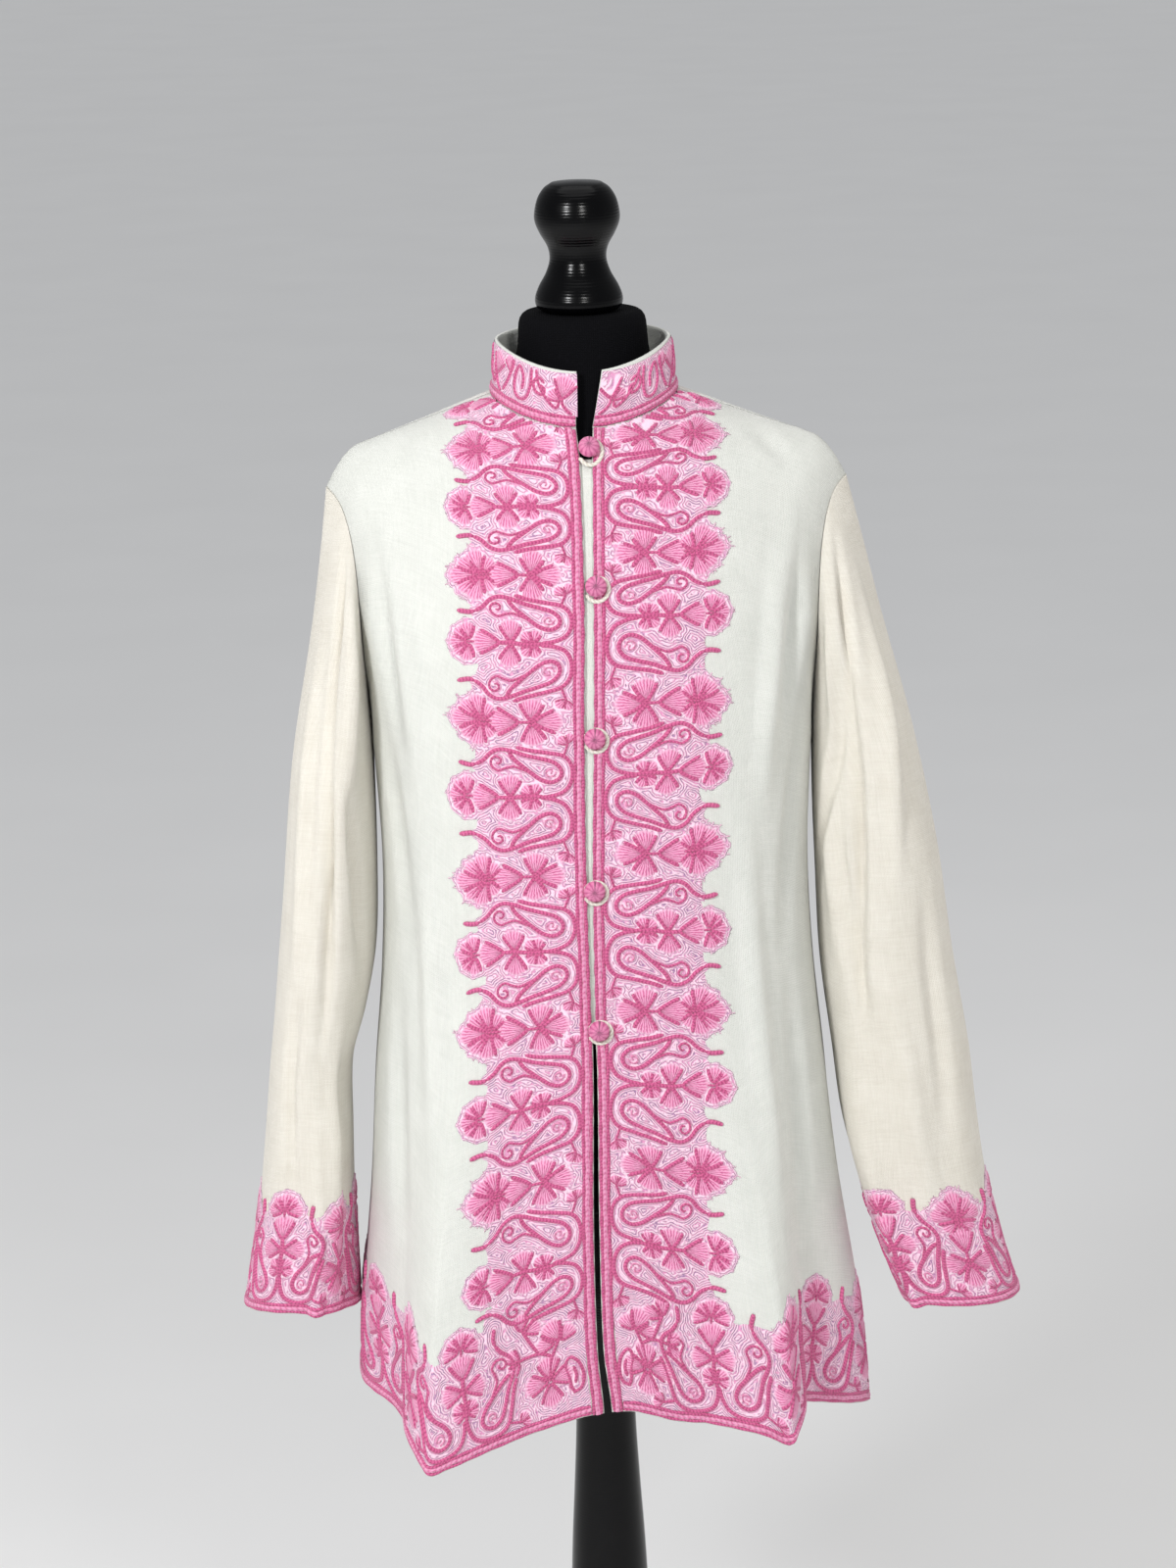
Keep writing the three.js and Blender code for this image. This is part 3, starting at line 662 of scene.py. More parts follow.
@dataclass(frozen=True)
class JerseyFinish:
    """Black cotton jersey: fine upright ribs of loops, with a trace of lint."""

    name: str = "black_jersey"
    light: Colour = (20, 20, 24)
    deep: Colour = (7, 7, 9)

    def material(self) -> Material:
        """Ribs are sine waves round the form, and loops are waves up it.

        Returns:
            The finished material.
        """
        tree = Tree(self.name)
        place = tree.node("ShaderNodeSeparateXYZ", inputs={0: tree.place()})
        x, z = place, Value(tree, place.socket.node.outputs[2])
        ribs = (x * (2 * math.pi / 0.0016)).sine() * 0.5 + 0.5
        loops = (z * (2 * math.pi / 0.0012)).sine() * 0.5 + 0.5
        lint = tree.noise(480, 3, 0.7).between(0.5, 0.85)
        # tone: the crests of ribs and loops are lighter than their grooves, painted shade; the lint is the
        # cloth's own.
        tone = ribs * loops * 0.5 + lint * 0.5
        normal = tree.bump(ribs * loops + tree.noise(900, 2) * 0.5, 0.0003)
        colour = tree.blend(tone, self.deep, self.light)
        return tree.surface(colour, 0.9, normal, 0.08)


@dataclass(frozen=True)
class LacquerFinish:
    """Satin black lacquer on turned wood, with faint turning marks and rubbed places."""

    name: str = "black_lacquer"
    colour: Colour = (3, 3, 4)
    worn: Colour = (10, 10, 10)

    def material(self) -> Material:
        """Turning marks are fine waves up the piece; the gloss varies softly over it.

        Returns:
            The finished material.
        """
        tree = Tree(self.name)
        place = tree.node("ShaderNodeSeparateXYZ", inputs={0: tree.place()})
        z = Value(tree, place.socket.node.outputs[2])
        cloud = tree.noise(24, 3, 0.6)
        marks = (z * (2 * math.pi / 0.0021) + cloud * 4).sine()
        rubbed = tree.noise(90, 3, 0.65).between(0.55, 0.8)
        normal = tree.bump(marks * 0.5 + tree.noise(180, 2) * 0.8, 0.00005)
        colour = tree.blend(rubbed, self.colour, self.worn)
        return tree.surface(colour, cloud.between(0.2, 0.8, 0.18, 0.26), normal, 0.18)


@dataclass(frozen=True)
class FloorFinish:
    """Plain pale floor."""

    name: str = "pale_floor"
    colour: Colour = (240, 240, 240)

    def material(self) -> Material:
        """A faint cloud of tone on a matt ground."""
        tree = Tree(self.name)
        near = tuple(part - 5 for part in self.colour)
        return tree.surface(tree.blend(tree.noise(3, 2), near, self.colour), 0.8, None, 0.2)


class Finishes:
    """Every material of the scene."""

    def __init__(self) -> None:
        """Makes each of them once."""
        dark = StitchFinish("dark_pink_thread", (224, 108, 158), (180, 58, 114))
        plait = StitchFinish("plaited_thread", (247, 170, 206), (226, 110, 162), 0.0042, 0.0009)
        pale = StitchFinish("pale_thread", (250, 216, 233), (236, 174, 206))
        self.wool = WoolFinish().material()
        # The sleeves get a warmer copy of the same wool: its warmer tint is painted warm light from the
        # sides.
        self.sleeve_wool = WoolFinish("painted_warm_light_wool", (238, 234, 224), (218, 212, 199)).material()
        self.dark = dark.material()
        self.plait = plait.material()
        self.pale = pale.material()
        self.petal = PetalFinish().material()
        self.ground = GroundFinish().material()
        self.cord = CordFinish().material()
        self.jersey = JerseyFinish().material()
        self.lacquer = LacquerFinish().material()
        self.floor = FloorFinish().material()


# The shape of the jacket


class Side(Enum):
    """The wearer's sides."""

    LEFT = 1
    RIGHT = -1

    @property
    def word(self) -> str:
        """The side's name in a node."""
        return self.name.lower()


@dataclass(frozen=True)
class Fold:
    """A fold that falls to the hem: its middle, half width, height at the hem, and where it starts."""

    angle: float
    half: float
    out: float
    start: float
    crisp: float = 0.3

    def height(self, beside: Array, grown: Array) -> Array:
        """Height beside its middle: soft where the fold starts, with a crisper edge where it is full."""
        tent = np.clip(1 - np.abs(beside) / self.half, 0, None) ** 1.15
        return self.out * grown * mix(ridge(beside, self.half), tent, self.crisp * grown)


@dataclass(frozen=True)
class Crease:
    """A fine crease from one place to another, in millimetres across the cloth and up."""

    start: Pair
    end: Pair
    half: float
    out: float

    def height(self, across: Array, up: Array) -> Array:
        """A soft ridge along the line, which sinks to nothing at both ends.

        Args:
            across: how far across the cloth each point lies.
            up: how high.

        Returns:
            Its height at each point.
        """
        start, end = np.array(self.start), np.array(self.end)
        way = end - start
        offset = np.stack([across, up], -1) - start
        share = offset @ way / (way @ way)
        beside = offset @ np.array([-way[1], way[0]]) / np.linalg.norm(way)
        return self.out * ridge(beside, self.half) * ridge(share - 0.5, 0.55)


def creases_from(*rows: tuple[float, ...]) -> tuple[Crease, ...]:
    """Creases, each given as a row of its start, its end, its half width and its height."""
    return tuple(Crease(row[:2], row[2:4], *row[4:]) for row in rows)


@dataclass(frozen=True)
class BodyShape:
    """The jacket's body, as its solids have it, and the finer creases of its cloth."""

    levels: Table = Table((
        (500, 191, 143, 140, 2.6), (600, 186, 140, 135, 2.6), (700, 176, 136, 127, 2.55),
        (785, 170, 133, 117, 2.5), (870, 162, 131, 108, 2.45), (950, 159, 129, 106, 2.4),
        (1045, 163, 126, 112, 2.4),
    ))
    hem: Table = Table((
        (-180, 527), (-150, 532), (-120, 526), (-90, 546), (-65, 541), (-50, 527), (-44, 518.5),
        (-41, 513.5), (-38, 518.5), (-30, 531), (-10, 551), (0, 556), (8, 556), (20, 547),
        (32, 542), (38, 537), (41.5, 530), (45, 538), (49, 544), (57, 541), (73, 524), (90, 508),
        (120, 522), (150, 531), (180, 527),
    ))
    folds: tuple[Fold, ...] = (
        Fold(-41, 17, 35, 930, 0.9),
        Fold(-64, 13, -8, 780),
        Fold(-126, 17, 17, 850),
        Fold(-153, 14, -8, 790),
        Fold(176, 19, 14, 900),
        Fold(152, 12, -7, 770),
        Fold(128, 16, 16, 840),
        Fold(77, 15, 12, 820),
        Fold(58, 11, -9, 760),
        Fold(42, 15, 33, 900, 0.9),
    )
    fold_full: float = 520
    chest: float = 1045
    neck_half: float = 67
    neck_front: float = 66
    neck_back: float = 60
    neck_heights: tuple[float, float, float] = (1297, 1281, 1300)
    shoulder_tip: float = 190
    shoulder_forward: float = 6
    shoulder_slope: float = 0.37
    round_from: float = 165
    round_drop: float = 22
    arch_front: float = 0.9
    arch_back: float = 0.7
    arch_fade: float = 100
    armhole_front: float = 17
    armhole_back: float = 14
    armhole_middle: Pair = (-2, 1135)
    edges: Table = Table((
        (500, -3, 3), (557, -3.4, 2.4), (605, -7, -2.7), (700, -7.6, -3.6), (815, -5.2, -2.4),
        (860, -5.3, -3.2), (969, -6.2, -2.6), (1080, -5, 0.9), (1160, -3, 2.6), (1256, -4, 4.4),
        (1290, -7.5, 6.2),
    ))
    millimetres_a_degree: float = 2.75
    creases: tuple[Crease, ...] = creases_from(
        (184, 1250, 166, 1010, 13, -7.5), (162, 1225, 142, 980, 15, 6.6),
        (196, 1120, 158, 860, 16, -5.4), (128, 1040, 132, 640, 17, 7.2),
        (168, 900, 160, 640, 15, -6.6), (140, 1288, 178, 1262, 7, 3), (128, 1276, 170, 1240, 8, -3),
        (-182, 1250, -168, 1020, 13, -6.3), (-162, 1225, -146, 1000, 15, 6.3),
        (-194, 1110, -160, 870, 16, -5.1), (-150, 1010, -124, 720, 18, 7.2),
        (-178, 880, -164, 650, 15, -6.3), (-134, 1290, -172, 1266, 7, 2.7),
        (320, 1240, 345, 960, 17, -6.75), (-320, 1240, -345, 960, 17, -6.75),
        (400, 1180, 440, 900, 20, 5.4), (-410, 1120, -430, 860, 22, 5.1),
        (470, 960, 455, 700, 18, 4.8), (300, 900, 280, 650, 18, 4.5),
        (-290, 930, -270, 690, 18, -4.2),
    )
    armhole_forward: float = 13
    armhole_place: Pair = (170, 36)
    armhole_level: Pair = (1140, 125)

    def radius(self, angle: Array, z: Array) -> Array:
        """Radius of the section without folds: a squared ellipse, deeper before than behind.

        Args:
            angle: degrees round from the front.
            z: heights.

        Returns:
            The radius at each.
        """
        across = np.abs(np.sin(np.radians(angle))) / self.levels(z)
        cosine = np.cos(np.radians(angle))
        deep = np.abs(cosine) / np.where(cosine > 0, self.levels(z, 2), self.levels(z, 3))
        power = self.levels(z, 4)
        return (across**power + deep**power) ** (-1 / power)

    def lower(self, angle: Array, z: Array) -> Array:
        """Point of the body at or below the chest: the section's radius and the folds on it.

        Args:
            angle: degrees round from the front.
            z: heights.

        Returns:
            The points.
        """
        radius = self.radius(angle, z)
        for fold in self.folds:
            grown = ease((fold.start - z) / (fold.start - self.fold_full))
            radius = radius + fold.height(wrapped(angle - fold.angle), grown)
        turn = np.radians(angle)
        return np.stack(np.broadcast_arrays(radius * np.sin(turn), -radius * np.cos(turn), z), -1)

    def top_x(self, chest_x: Array) -> Array:
        """Where a column meets the top: straight up to the neckline, spreading to the shoulder's tip."""
        half = self.levels(self.chest)
        past = np.maximum(np.abs(chest_x) - self.neck_half, 0) / (half - self.neck_half)
        return chest_x + np.sign(chest_x) * (self.shoulder_tip - half) * past * past

    def head(self, x: Array, behind: Array) -> tuple[Array, Array]:
        """Depth and height of the neckline or the shoulder seam at a distance from the centre.

        Args:
            x: distances from the centre.
            behind: whether each lies on the back.

        Returns:
            The depths and the heights.
        """
        side, front, back = self.neck_heights
        level = np.sqrt(np.clip(1 - (x / self.neck_half) ** 2, 0, 1))
        neck_y = np.where(behind, self.neck_back, -self.neck_front) * level
        neck_z = mix(side, np.where(behind, back, front), level * level)
        past = np.abs(x) - self.neck_half
        rounded = np.maximum(np.abs(x) - self.round_from, 0) / (self.shoulder_tip - self.round_from)
        seam_y = self.shoulder_forward * past / (self.shoulder_tip - self.neck_half)
        seam_z = side - self.shoulder_slope * past - self.round_drop * rounded * rounded
        return np.where(past < 0, neck_y, seam_y), np.where(past < 0, neck_z, seam_z)

    def upper(self, angle: Array, share: Array) -> Array:
        """Point above the chest: each column is part of a rounded quarter arch to the shoulder line.

        Args:
            angle: the column's angle at the chest, in degrees.
            share: how far along its arch, which ends sooner where the neckline cuts it.

        Returns:
            Points in the shape of angle and share together.
        """
        angle, share = np.broadcast_arrays(angle, share)
        behind = np.abs(wrapped(angle)) > 90
        foot = self.lower(angle, np.full(angle.shape, self.chest))
        x = self.top_x(foot[..., 0])
        head_y, head_z = self.head(x, behind)
        past = np.maximum(np.abs(x) - self.neck_half, 0)
        full = mix(np.where(behind, self.arch_back, self.arch_front), 1, ease(past / self.arch_fade))
        ratio = np.where(past > 0, 0, head_y / np.where(past > 0, 1, foot[..., 1]))
        end = np.where(past > 0, np.pi / 2, np.arccos(np.clip(ratio, 0, 1) ** (1 / full)))
        rise = np.sin(share * end) / np.sin(end)
        back = np.maximum(np.cos(share * end), 0) ** full
        forward = np.where(past > 0, head_y, 0)
        return np.stack(
            [
                mix(foot[..., 0], x, np.clip(rise, 0, 1) ** 1.6),
                mix(forward, foot[..., 1], back),
                mix(self.chest, head_z, rise),
            ],
            -1,
        )

    def brought_forward(self, points: Array) -> Array:
        """Cloth at the armhole stands out to the front and the back, so no cleft is left at the seam.

        Args:
            points: the cloth.

        Returns:
            The cloth, moved out at the armholes.
        """
        place, reach = self.armhole_place
        beside = ridge(np.abs(points[..., 0]) - place, reach)
        middle, half = self.armhole_level
        level = ridge(points[..., 2] - middle, half)
        away = ease((np.abs(points[..., 1]) - 4) / 26)
        shift = self.armhole_forward * beside * level * away * np.sign(points[..., 1])
        return points + shift[..., None] * [0, 1, 0]

    def armhole_angle(self, share: Array, behind: Array) -> Array:
        """Angle of the armhole's edge on the wearer's left, at a share of its height."""
        cut = np.sin(np.pi * share)
        return np.where(behind, 90 + self.armhole_back * cut, 90 - self.armhole_front * cut)

    def armhole_way(self, own: Array, points: Array) -> Array:
        """Direction of the wall at the armhole: its own below, and away from the armhole's middle above."""
        centre_y, centre_z = self.armhole_middle
        away = np.stack([0 * points[:, 0], points[:, 1] - centre_y, points[:, 2] - centre_z], -1)
        return unit(mix(own, unit(away), ease((points[:, 2:] - 1150) / 50)))

    def column_angles(self, x: Array, behind: bool) -> Array:
        """Angles at the chest of the columns that reach these distances from the centre at the top.

        Args:
            x: the distances.
            behind: whether they are on the back.

        Returns:
            An angle for each.
        """
        angles = np.linspace(0, 90, 3001)
        faced = 180 - angles if behind else angles
        reach = self.top_x(self.radius(faced, self.chest) * np.sin(np.radians(angles)))
        found = np.interp(np.abs(x), reach, angles) * np.where(x < 0, -1, 1)
        return 180 - found if behind else found

    def top_columns(self, start: float, neck_steps: int, shoulder_steps: int) -> Array:
        """Distances from the centre of a panel's columns at the top: even round the neck, then the seam."""
        first = np.arcsin(start / self.neck_half)
        neck = self.neck_half * np.sin(np.linspace(first, np.pi / 2, neck_steps, endpoint=False))
        return np.concatenate([neck, np.linspace(self.neck_half, self.shoulder_tip, shoulder_steps + 1)])

    def front_face(self, x: Array, z: Array) -> Array:
        """The face of the two fronts near the centre, taken across the gap between them.

        Args:
            x: distances from the centre.
            z: heights.

        Returns:
            The points.
        """
        angle = np.degrees(np.arctan(x / self.levels(np.minimum(z, self.chest), 2)))
        shares = np.linspace(0, 1, 801)
        share = np.interp(z, self.upper(np.zeros(801), shares)[:, 2], shares)
        above = np.asarray(z)[..., None] > self.chest
        return np.where(above, self.upper(angle, share), self.lower(angle, z + 0 * angle))

    def front_normal(self, z: Array) -> Array:
        """Outward direction of that face at the centre."""
        up = self.front_face(0 * z, z + 2) - self.front_face(0 * z, z - 2)
        return unit(np.cross([1, 0, 0], up))


@dataclass
class Panel:
    """A cut piece of the jacket as a grid of points on its outer face."""

    points: Array
    directions: Array
    closed: bool = False

    def heights(self, shared: int = 0) -> Array:
        """How far up its column each point lies; all columns share the mean of the lowest steps."""
        steps = np.linalg.norm(np.diff(self.points, axis=0), axis=-1)
        steps[:shared] = steps[:shared].mean(1, keepdims=True)
        return np.concatenate([np.zeros((1, steps.shape[1])), np.cumsum(steps, 0)])

    def creased(self, creases: tuple[Crease, ...], across: Array) -> Panel:
        """The panel with fine creases: each one moves points along their directions."""
        height = sum(crease.height(across, self.points[..., 2]) for crease in creases)
        moved = self.points + self.directions * np.asarray(height)[..., None]
        return Panel(moved, outward(moved, self.closed), self.closed)


@dataclass(frozen=True)
class BodyCutter:
    """Cuts the fronts and the back out of the body's shape."""

    shape: BodyShape
    neck_steps: int = 22
    shoulder_steps: int = 46
    lower_rows: int = 118
    upper_rows: int = 62

    def grid(
        self, columns: Array, low: tuple[Array, Array], high: tuple[Array, Array]
    ) -> tuple[Array, Array]:
        """Points and angles of a panel.

        Args:
            columns: shares of the way from one side to the other.
            low: the two sides' angles for each row below the chest.
            high: the two sides' angles for each row from the chest up.

        Returns:
            The points and the angles, rows by columns.
        """
        shape = self.shape
        share = (np.arange(self.lower_rows) / self.lower_rows)[:, None]
        angle = mix(low[0][:, None], low[1][:, None], columns)
        below = shape.lower(angle, mix(shape.hem(wrapped(angle)), shape.chest, share))
        rise = np.linspace(0, 1, self.upper_rows + 1)[:, None]
        upper_angle = mix(high[0][:, None], high[1][:, None], columns)
        above = shape.upper(upper_angle, rise)
        points = shape.brought_forward(np.concatenate([below, above]))
        return points, np.concatenate([angle, upper_angle])

    def seamed(self, panel: Panel, behind: bool, sides: tuple[int, ...]) -> Panel:
        """Turns the wall's directions at the seams so that panels meet edge to edge, with room between.

        Args:
            panel: the cut piece.
            behind: whether it is the back.
            sides: its columns at the side seams.

        Returns:
            The panel, half the room away from each seam.
        """
        points, directions = panel.points.copy(), panel.directions.copy()
        shift = SEAM / 2 if behind else -SEAM / 2
        seam = np.abs(points[-1, :, 0]) >= self.shape.neck_half - 1e-6
        directions[-1, seam] = (0, 0, 1)
        points[-1, :, 1] += shift
        low = self.lower_rows + 1
        for side in sides:
            directions[:low, side] = np.sign(points[:low, side, :1]) * [1, 0, 0]
            points[:low, side, 1] += shift
            directions[low:, side] = self.shape.armhole_way(directions[low:, side], points[low:, side])
        return Panel(points, directions)

    def front(self, side: Side) -> Panel:
        """A front, its columns in order of rising angle.

        Args:
            side: which front.

        Returns:
            The front as a panel.
        """
        shape = self.shape
        column = 2 if side is Side.LEFT else 1
        low_z = mix(shape.hem(0), shape.chest, np.arange(self.lower_rows) / self.lower_rows)
        rise = np.linspace(0, 1, self.upper_rows + 1)
        high_z = shape.upper(np.zeros(len(rise)), rise)[:, 2]
        edges = [
            np.degrees(np.arctan(shape.edges(z, column) / shape.levels(np.minimum(z, shape.chest), 2)))
            for z in (low_z, high_z)
        ]
        start = side.value * float(shape.edges(shape.neck_heights[1], column))
        angles = shape.column_angles(shape.top_columns(start, self.neck_steps, self.shoulder_steps), False)
        shares = (angles - angles[0]) / (90 - angles[0])
        far = np.full(len(low_z), 90.0), shape.armhole_angle(rise, np.False_)
        if side is Side.LEFT:
            points, angle = self.grid(shares, (edges[0], far[0]), (edges[1], far[1]))
        else:
            columns = (1 - shares)[::-1]
            points, angle = self.grid(columns, (-far[0], edges[0]), (-far[1], edges[1]))
        panel = Panel(points, outward(points, False))
        panel = panel.creased(shape.creases, angle * shape.millimetres_a_degree)
        return self.seamed(panel, False, (-1,) if side is Side.LEFT else (0,))

    def back(self) -> Panel:
        """The back, from the wearer's left side seam round to the right one.

        Returns:
            The back as a panel.
        """
        shape = self.shape
        tops = shape.top_columns(0.0, self.neck_steps, self.shoulder_steps)
        left = (shape.column_angles(tops, True) - 90) / 180
        columns = np.concatenate([left[:0:-1], 1 - left])
        rise = np.linspace(0, 1, self.upper_rows + 1)
        edge = shape.armhole_angle(rise, np.True_)
        level = np.full(self.lower_rows, 90.0)
        points, angle = self.grid(columns, (level, 3 * level), (edge, 360 - edge))
        panel = Panel(points, outward(points, False))
        panel = panel.creased(shape.creases, wrapped(angle) * shape.millimetres_a_degree)
        return self.seamed(panel, True, (0, -1))


@dataclass(frozen=True)
class SleeveFold:
    """A soft fold of a sleeve: its middle round the arm, half width, height, and where it lies."""

    angle: float
    half: float
    out: float
    high: float
    low: float


@dataclass(frozen=True)
class SleeveShape:
    """A sleeve's sections, its folds and its cuff."""

    side: Side
    sections: Table
    folds: tuple[SleeveFold, ...]
    cuff: float
    cuff_rise: float
    creases: tuple[Crease, ...]
    square: float = 2.2
    fade: float = 4
    pressed: float = 3
    pressed_at: float = 1010
    rows: int = 150
    half_columns: int = 54

    def section(self, turn: Array, z: Array) -> Array:
        """A point of the section: a squared ellipse that swells by the folds.

        Args:
            turn: degrees round from the outer side, by way of the front.
            z: heights.

        Returns:
            Points of a sleeve on the wearer's left.
        """
        swell = 0 * z
        for fold in self.folds:
            middle, reach = (fold.high + fold.low) / 2, (fold.high - fold.low) / 2
            swell = swell + fold.out * ridge(z - middle, reach) * ridge(wrapped(turn - fold.angle), fold.half)
        outer, inner = self.sections(z, 1), self.sections(z, 2)
        cosine, sine = np.cos(np.radians(turn)), np.sin(np.radians(turn))
        power = 2 / self.square
        x = (outer + inner) / 2 + ((outer - inner) / 2 + swell) * np.sign(cosine) * np.abs(cosine) ** power
        deep = self.sections(z, 4) + swell
        y = self.sections(z, 3) - deep * np.sign(sine) * np.abs(sine) ** power
        return np.stack([x, y, z], -1)

    def panel(self, body: BodyShape) -> Panel:
        """The sleeve from cuff to armhole, its columns round from the armpit over the front.

        Args:
            body: the shape whose armhole's edge it meets.

        Returns:
            The sleeve as a panel.
        """
        half = self.half_columns
        place = np.arange(2 * half)
        behind = place > half
        share = np.where(behind, 2 - place / half, place / half)
        ring = body.upper(body.armhole_angle(share, behind), share)
        turn = 180 * np.where(behind, 1 + share, 1 - share)
        if self.side is Side.RIGHT:
            ring, turn = ring[::-1], turn[::-1]
        down = ((np.arange(self.rows, -1, -1) / self.rows) ** 1.15)[:, None]
        edge = self.cuff + self.cuff_rise * np.sin(np.radians(turn))
        z = mix(ring[:, 2], edge, down)
        away = ring - self.section(turn, ring[:, 2])
        points = self.section(np.broadcast_to(turn, z.shape), z) + away * (1 - down[..., None]) ** self.fade
        pressed = self.pressed * ridge(z - self.pressed_at, 120) * ridge(wrapped(turn - 150), 60)
        points[..., 0] = self.side.value * (points[..., 0] - pressed + SEAM)
        points = body.brought_forward(points)
        directions = outward(points, True)
        round_way = np.broadcast_to(wrapped(turn - 90), z.shape)
        height = sum(crease.height(round_way, points[..., 2]) for crease in self.creases)
        points = points + directions * (height * ease(down / 0.12))[..., None]
        directions = outward(points, True)
        directions[-1] = body.armhole_way(directions[-1], points[-1])
        return Panel(points, directions, True)


def left_sleeve() -> SleeveShape:
    """The wearer's left sleeve; its creases count degrees from the middle of its front.

    Returns:
        Its shape.
    """
    return SleeveShape(
        Side.LEFT,
        Table((
            (590, 318, 229, -12, 47), (633, 304, 213, -11, 50), (690, 291, 195, -10, 53),
            (740, 284, 182, -9, 56), (795, 278, 175, -8, 59), (870, 266, 166.5, -7, 63),
            (955, 255, 165, -5, 66), (1044, 238, 166, -2, 64), (1125, 218, 166, 0, 53),
            (1180, 206, 167, 3, 43), (1230, 195, 168, 5, 30),
        )),
        (
            SleeveFold(74, 34, 8, 1225, 960),
            SleeveFold(118, 30, -7, 1190, 900),
            SleeveFold(140, 30, 9, 860, 520),
            SleeveFold(300, 34, 7, 1200, 880),
            SleeveFold(245, 30, -6, 1120, 760),
            SleeveFold(320, 30, 7, 830, 520),
        ),
        cuff=596,
        cuff_rise=4,
        creases=creases_from(
            (-30, 1235, 12, 1050, 10, -10.5), (4, 1120, 32, 800, 11, -12),
            (10, 1200, 46, 980, 13, 7.5), (18, 1070, 76, 920, 10, -7.5),
            (44, 1060, 50, 860, 13, 5.25), (-42, 1190, -8, 900, 13, 6.75),
            (44, 1010, 22, 800, 14, -7.5), (-40, 960, -24, 690, 15, -6), (2, 880, -6, 640, 14, 6),
            (160, 1150, 150, 860, 20, -7.5), (120, 960, 140, 700, 18, 6),
            (44, 430, 40, 780, 9, 5.4),
        ),
    )


def right_sleeve() -> SleeveShape:
    """The wearer's right sleeve; its creases count degrees from the middle of its front.

    Returns:
        Its shape.
    """
    return SleeveShape(
        Side.RIGHT,
        Table((
            (590, 277, 188, -10, 46), (660, 264, 189, -10, 54), (740, 254, 188, -9, 61),
            (795, 248, 186, -9, 65), (835, 243, 175, -10, 69), (880, 238, 166, -11, 72),
            (925, 233, 163.5, -11, 74), (1030, 222, 165, -8, 71), (1125, 205, 165.5, -2, 54),
            (1180, 197, 167, 3, 43), (1230, 191, 168, 5, 30),
        )),
        (
            SleeveFold(104, 30, 9, 1200, 860),
            SleeveFold(62, 30, -6, 1160, 860),
            SleeveFold(112, 30, 10, 850, 520),
            SleeveFold(296, 34, 7, 1190, 900),
            SleeveFold(250, 30, -6, 1060, 740),
            SleeveFold(310, 30, 7, 820, 520),
        ),
        cuff=598,
        cuff_rise=9,
        creases=creases_from(
            (-18, 1235, -8, 1040, 9, -10.5), (-12, 1120, 10, 800, 11, -13.5),
            (8, 1200, 22, 980, 13, 7.5), (12, 1060, 52, 860, 12, -7.5),
            (-44, 1150, -34, 840, 14, 5.4), (-34, 900, -10, 660, 14, -6.3),
            (30, 860, 34, 640, 13, 6), (156, 1140, 150, 870, 20, -7.5), (118, 940, 138, 690, 18, 6),
            (12, 430, 14, 770, 8, 5.4),
        ),
    )


@dataclass(frozen=True)
class CollarShape:
    """The stand collar, open at the centre front, its ends cut apart."""

    body: BodyShape
    high: float = 38.5
    lean_side: float = 3.5
    lean_front: float = 6
    lift: float = 0.8
    left_top: float = 14
    right_top: float = -5.5
    columns: int = 150
    rows: int = 16

    def panel(self) -> Panel:
        """Rows follow the neckline, leaning in as they rise.

        Returns:
            The collar as a panel.
        """
        body = self.body
        up = np.linspace(-0.035, 1, self.rows + 1)[:, None]
        side, front, back = body.neck_heights
        ends = [
            math.degrees(math.asin(x / body.neck_half))
            for x in (body.edges(front, 2), body.edges(front, 1), self.left_top, self.right_top)
        ]
        start, end = mix(ends[0], ends[2], up), mix(ends[1], ends[3], up) + 360
        angle = np.radians(mix(start, end, np.linspace(0, 1, self.columns + 1)))
        sine, cosine = np.sin(angle), np.cos(angle)
        behind = cosine < 0
        lean = np.where(behind, self.lean_side, mix(self.lean_side, self.lean_front, cosine))
        deep = np.where(behind, body.neck_back, body.neck_front) - lean * up
        seam = mix(side, np.where(behind, back, front), cosine * cosine)
        wide = body.neck_half - self.lean_side * up
        points = np.stack([wide * sine, -deep * cosine, seam + self.lift + self.high * up], -1)
        return Panel(points, outward(points, False))


# Places on the cloth


def carried_on(line: Array, marks: Array, places: Array) -> Array:
    """A line, marked off at its points, read at other places and carried on straight past its end."""
    past = np.maximum(places - marks[-1], 0)[:, None]
    on = [np.interp(places, marks, line[:, axis]) for axis in range(3)]
    return np.stack(on, -1) + past * unit(line[-1] - line[-2])


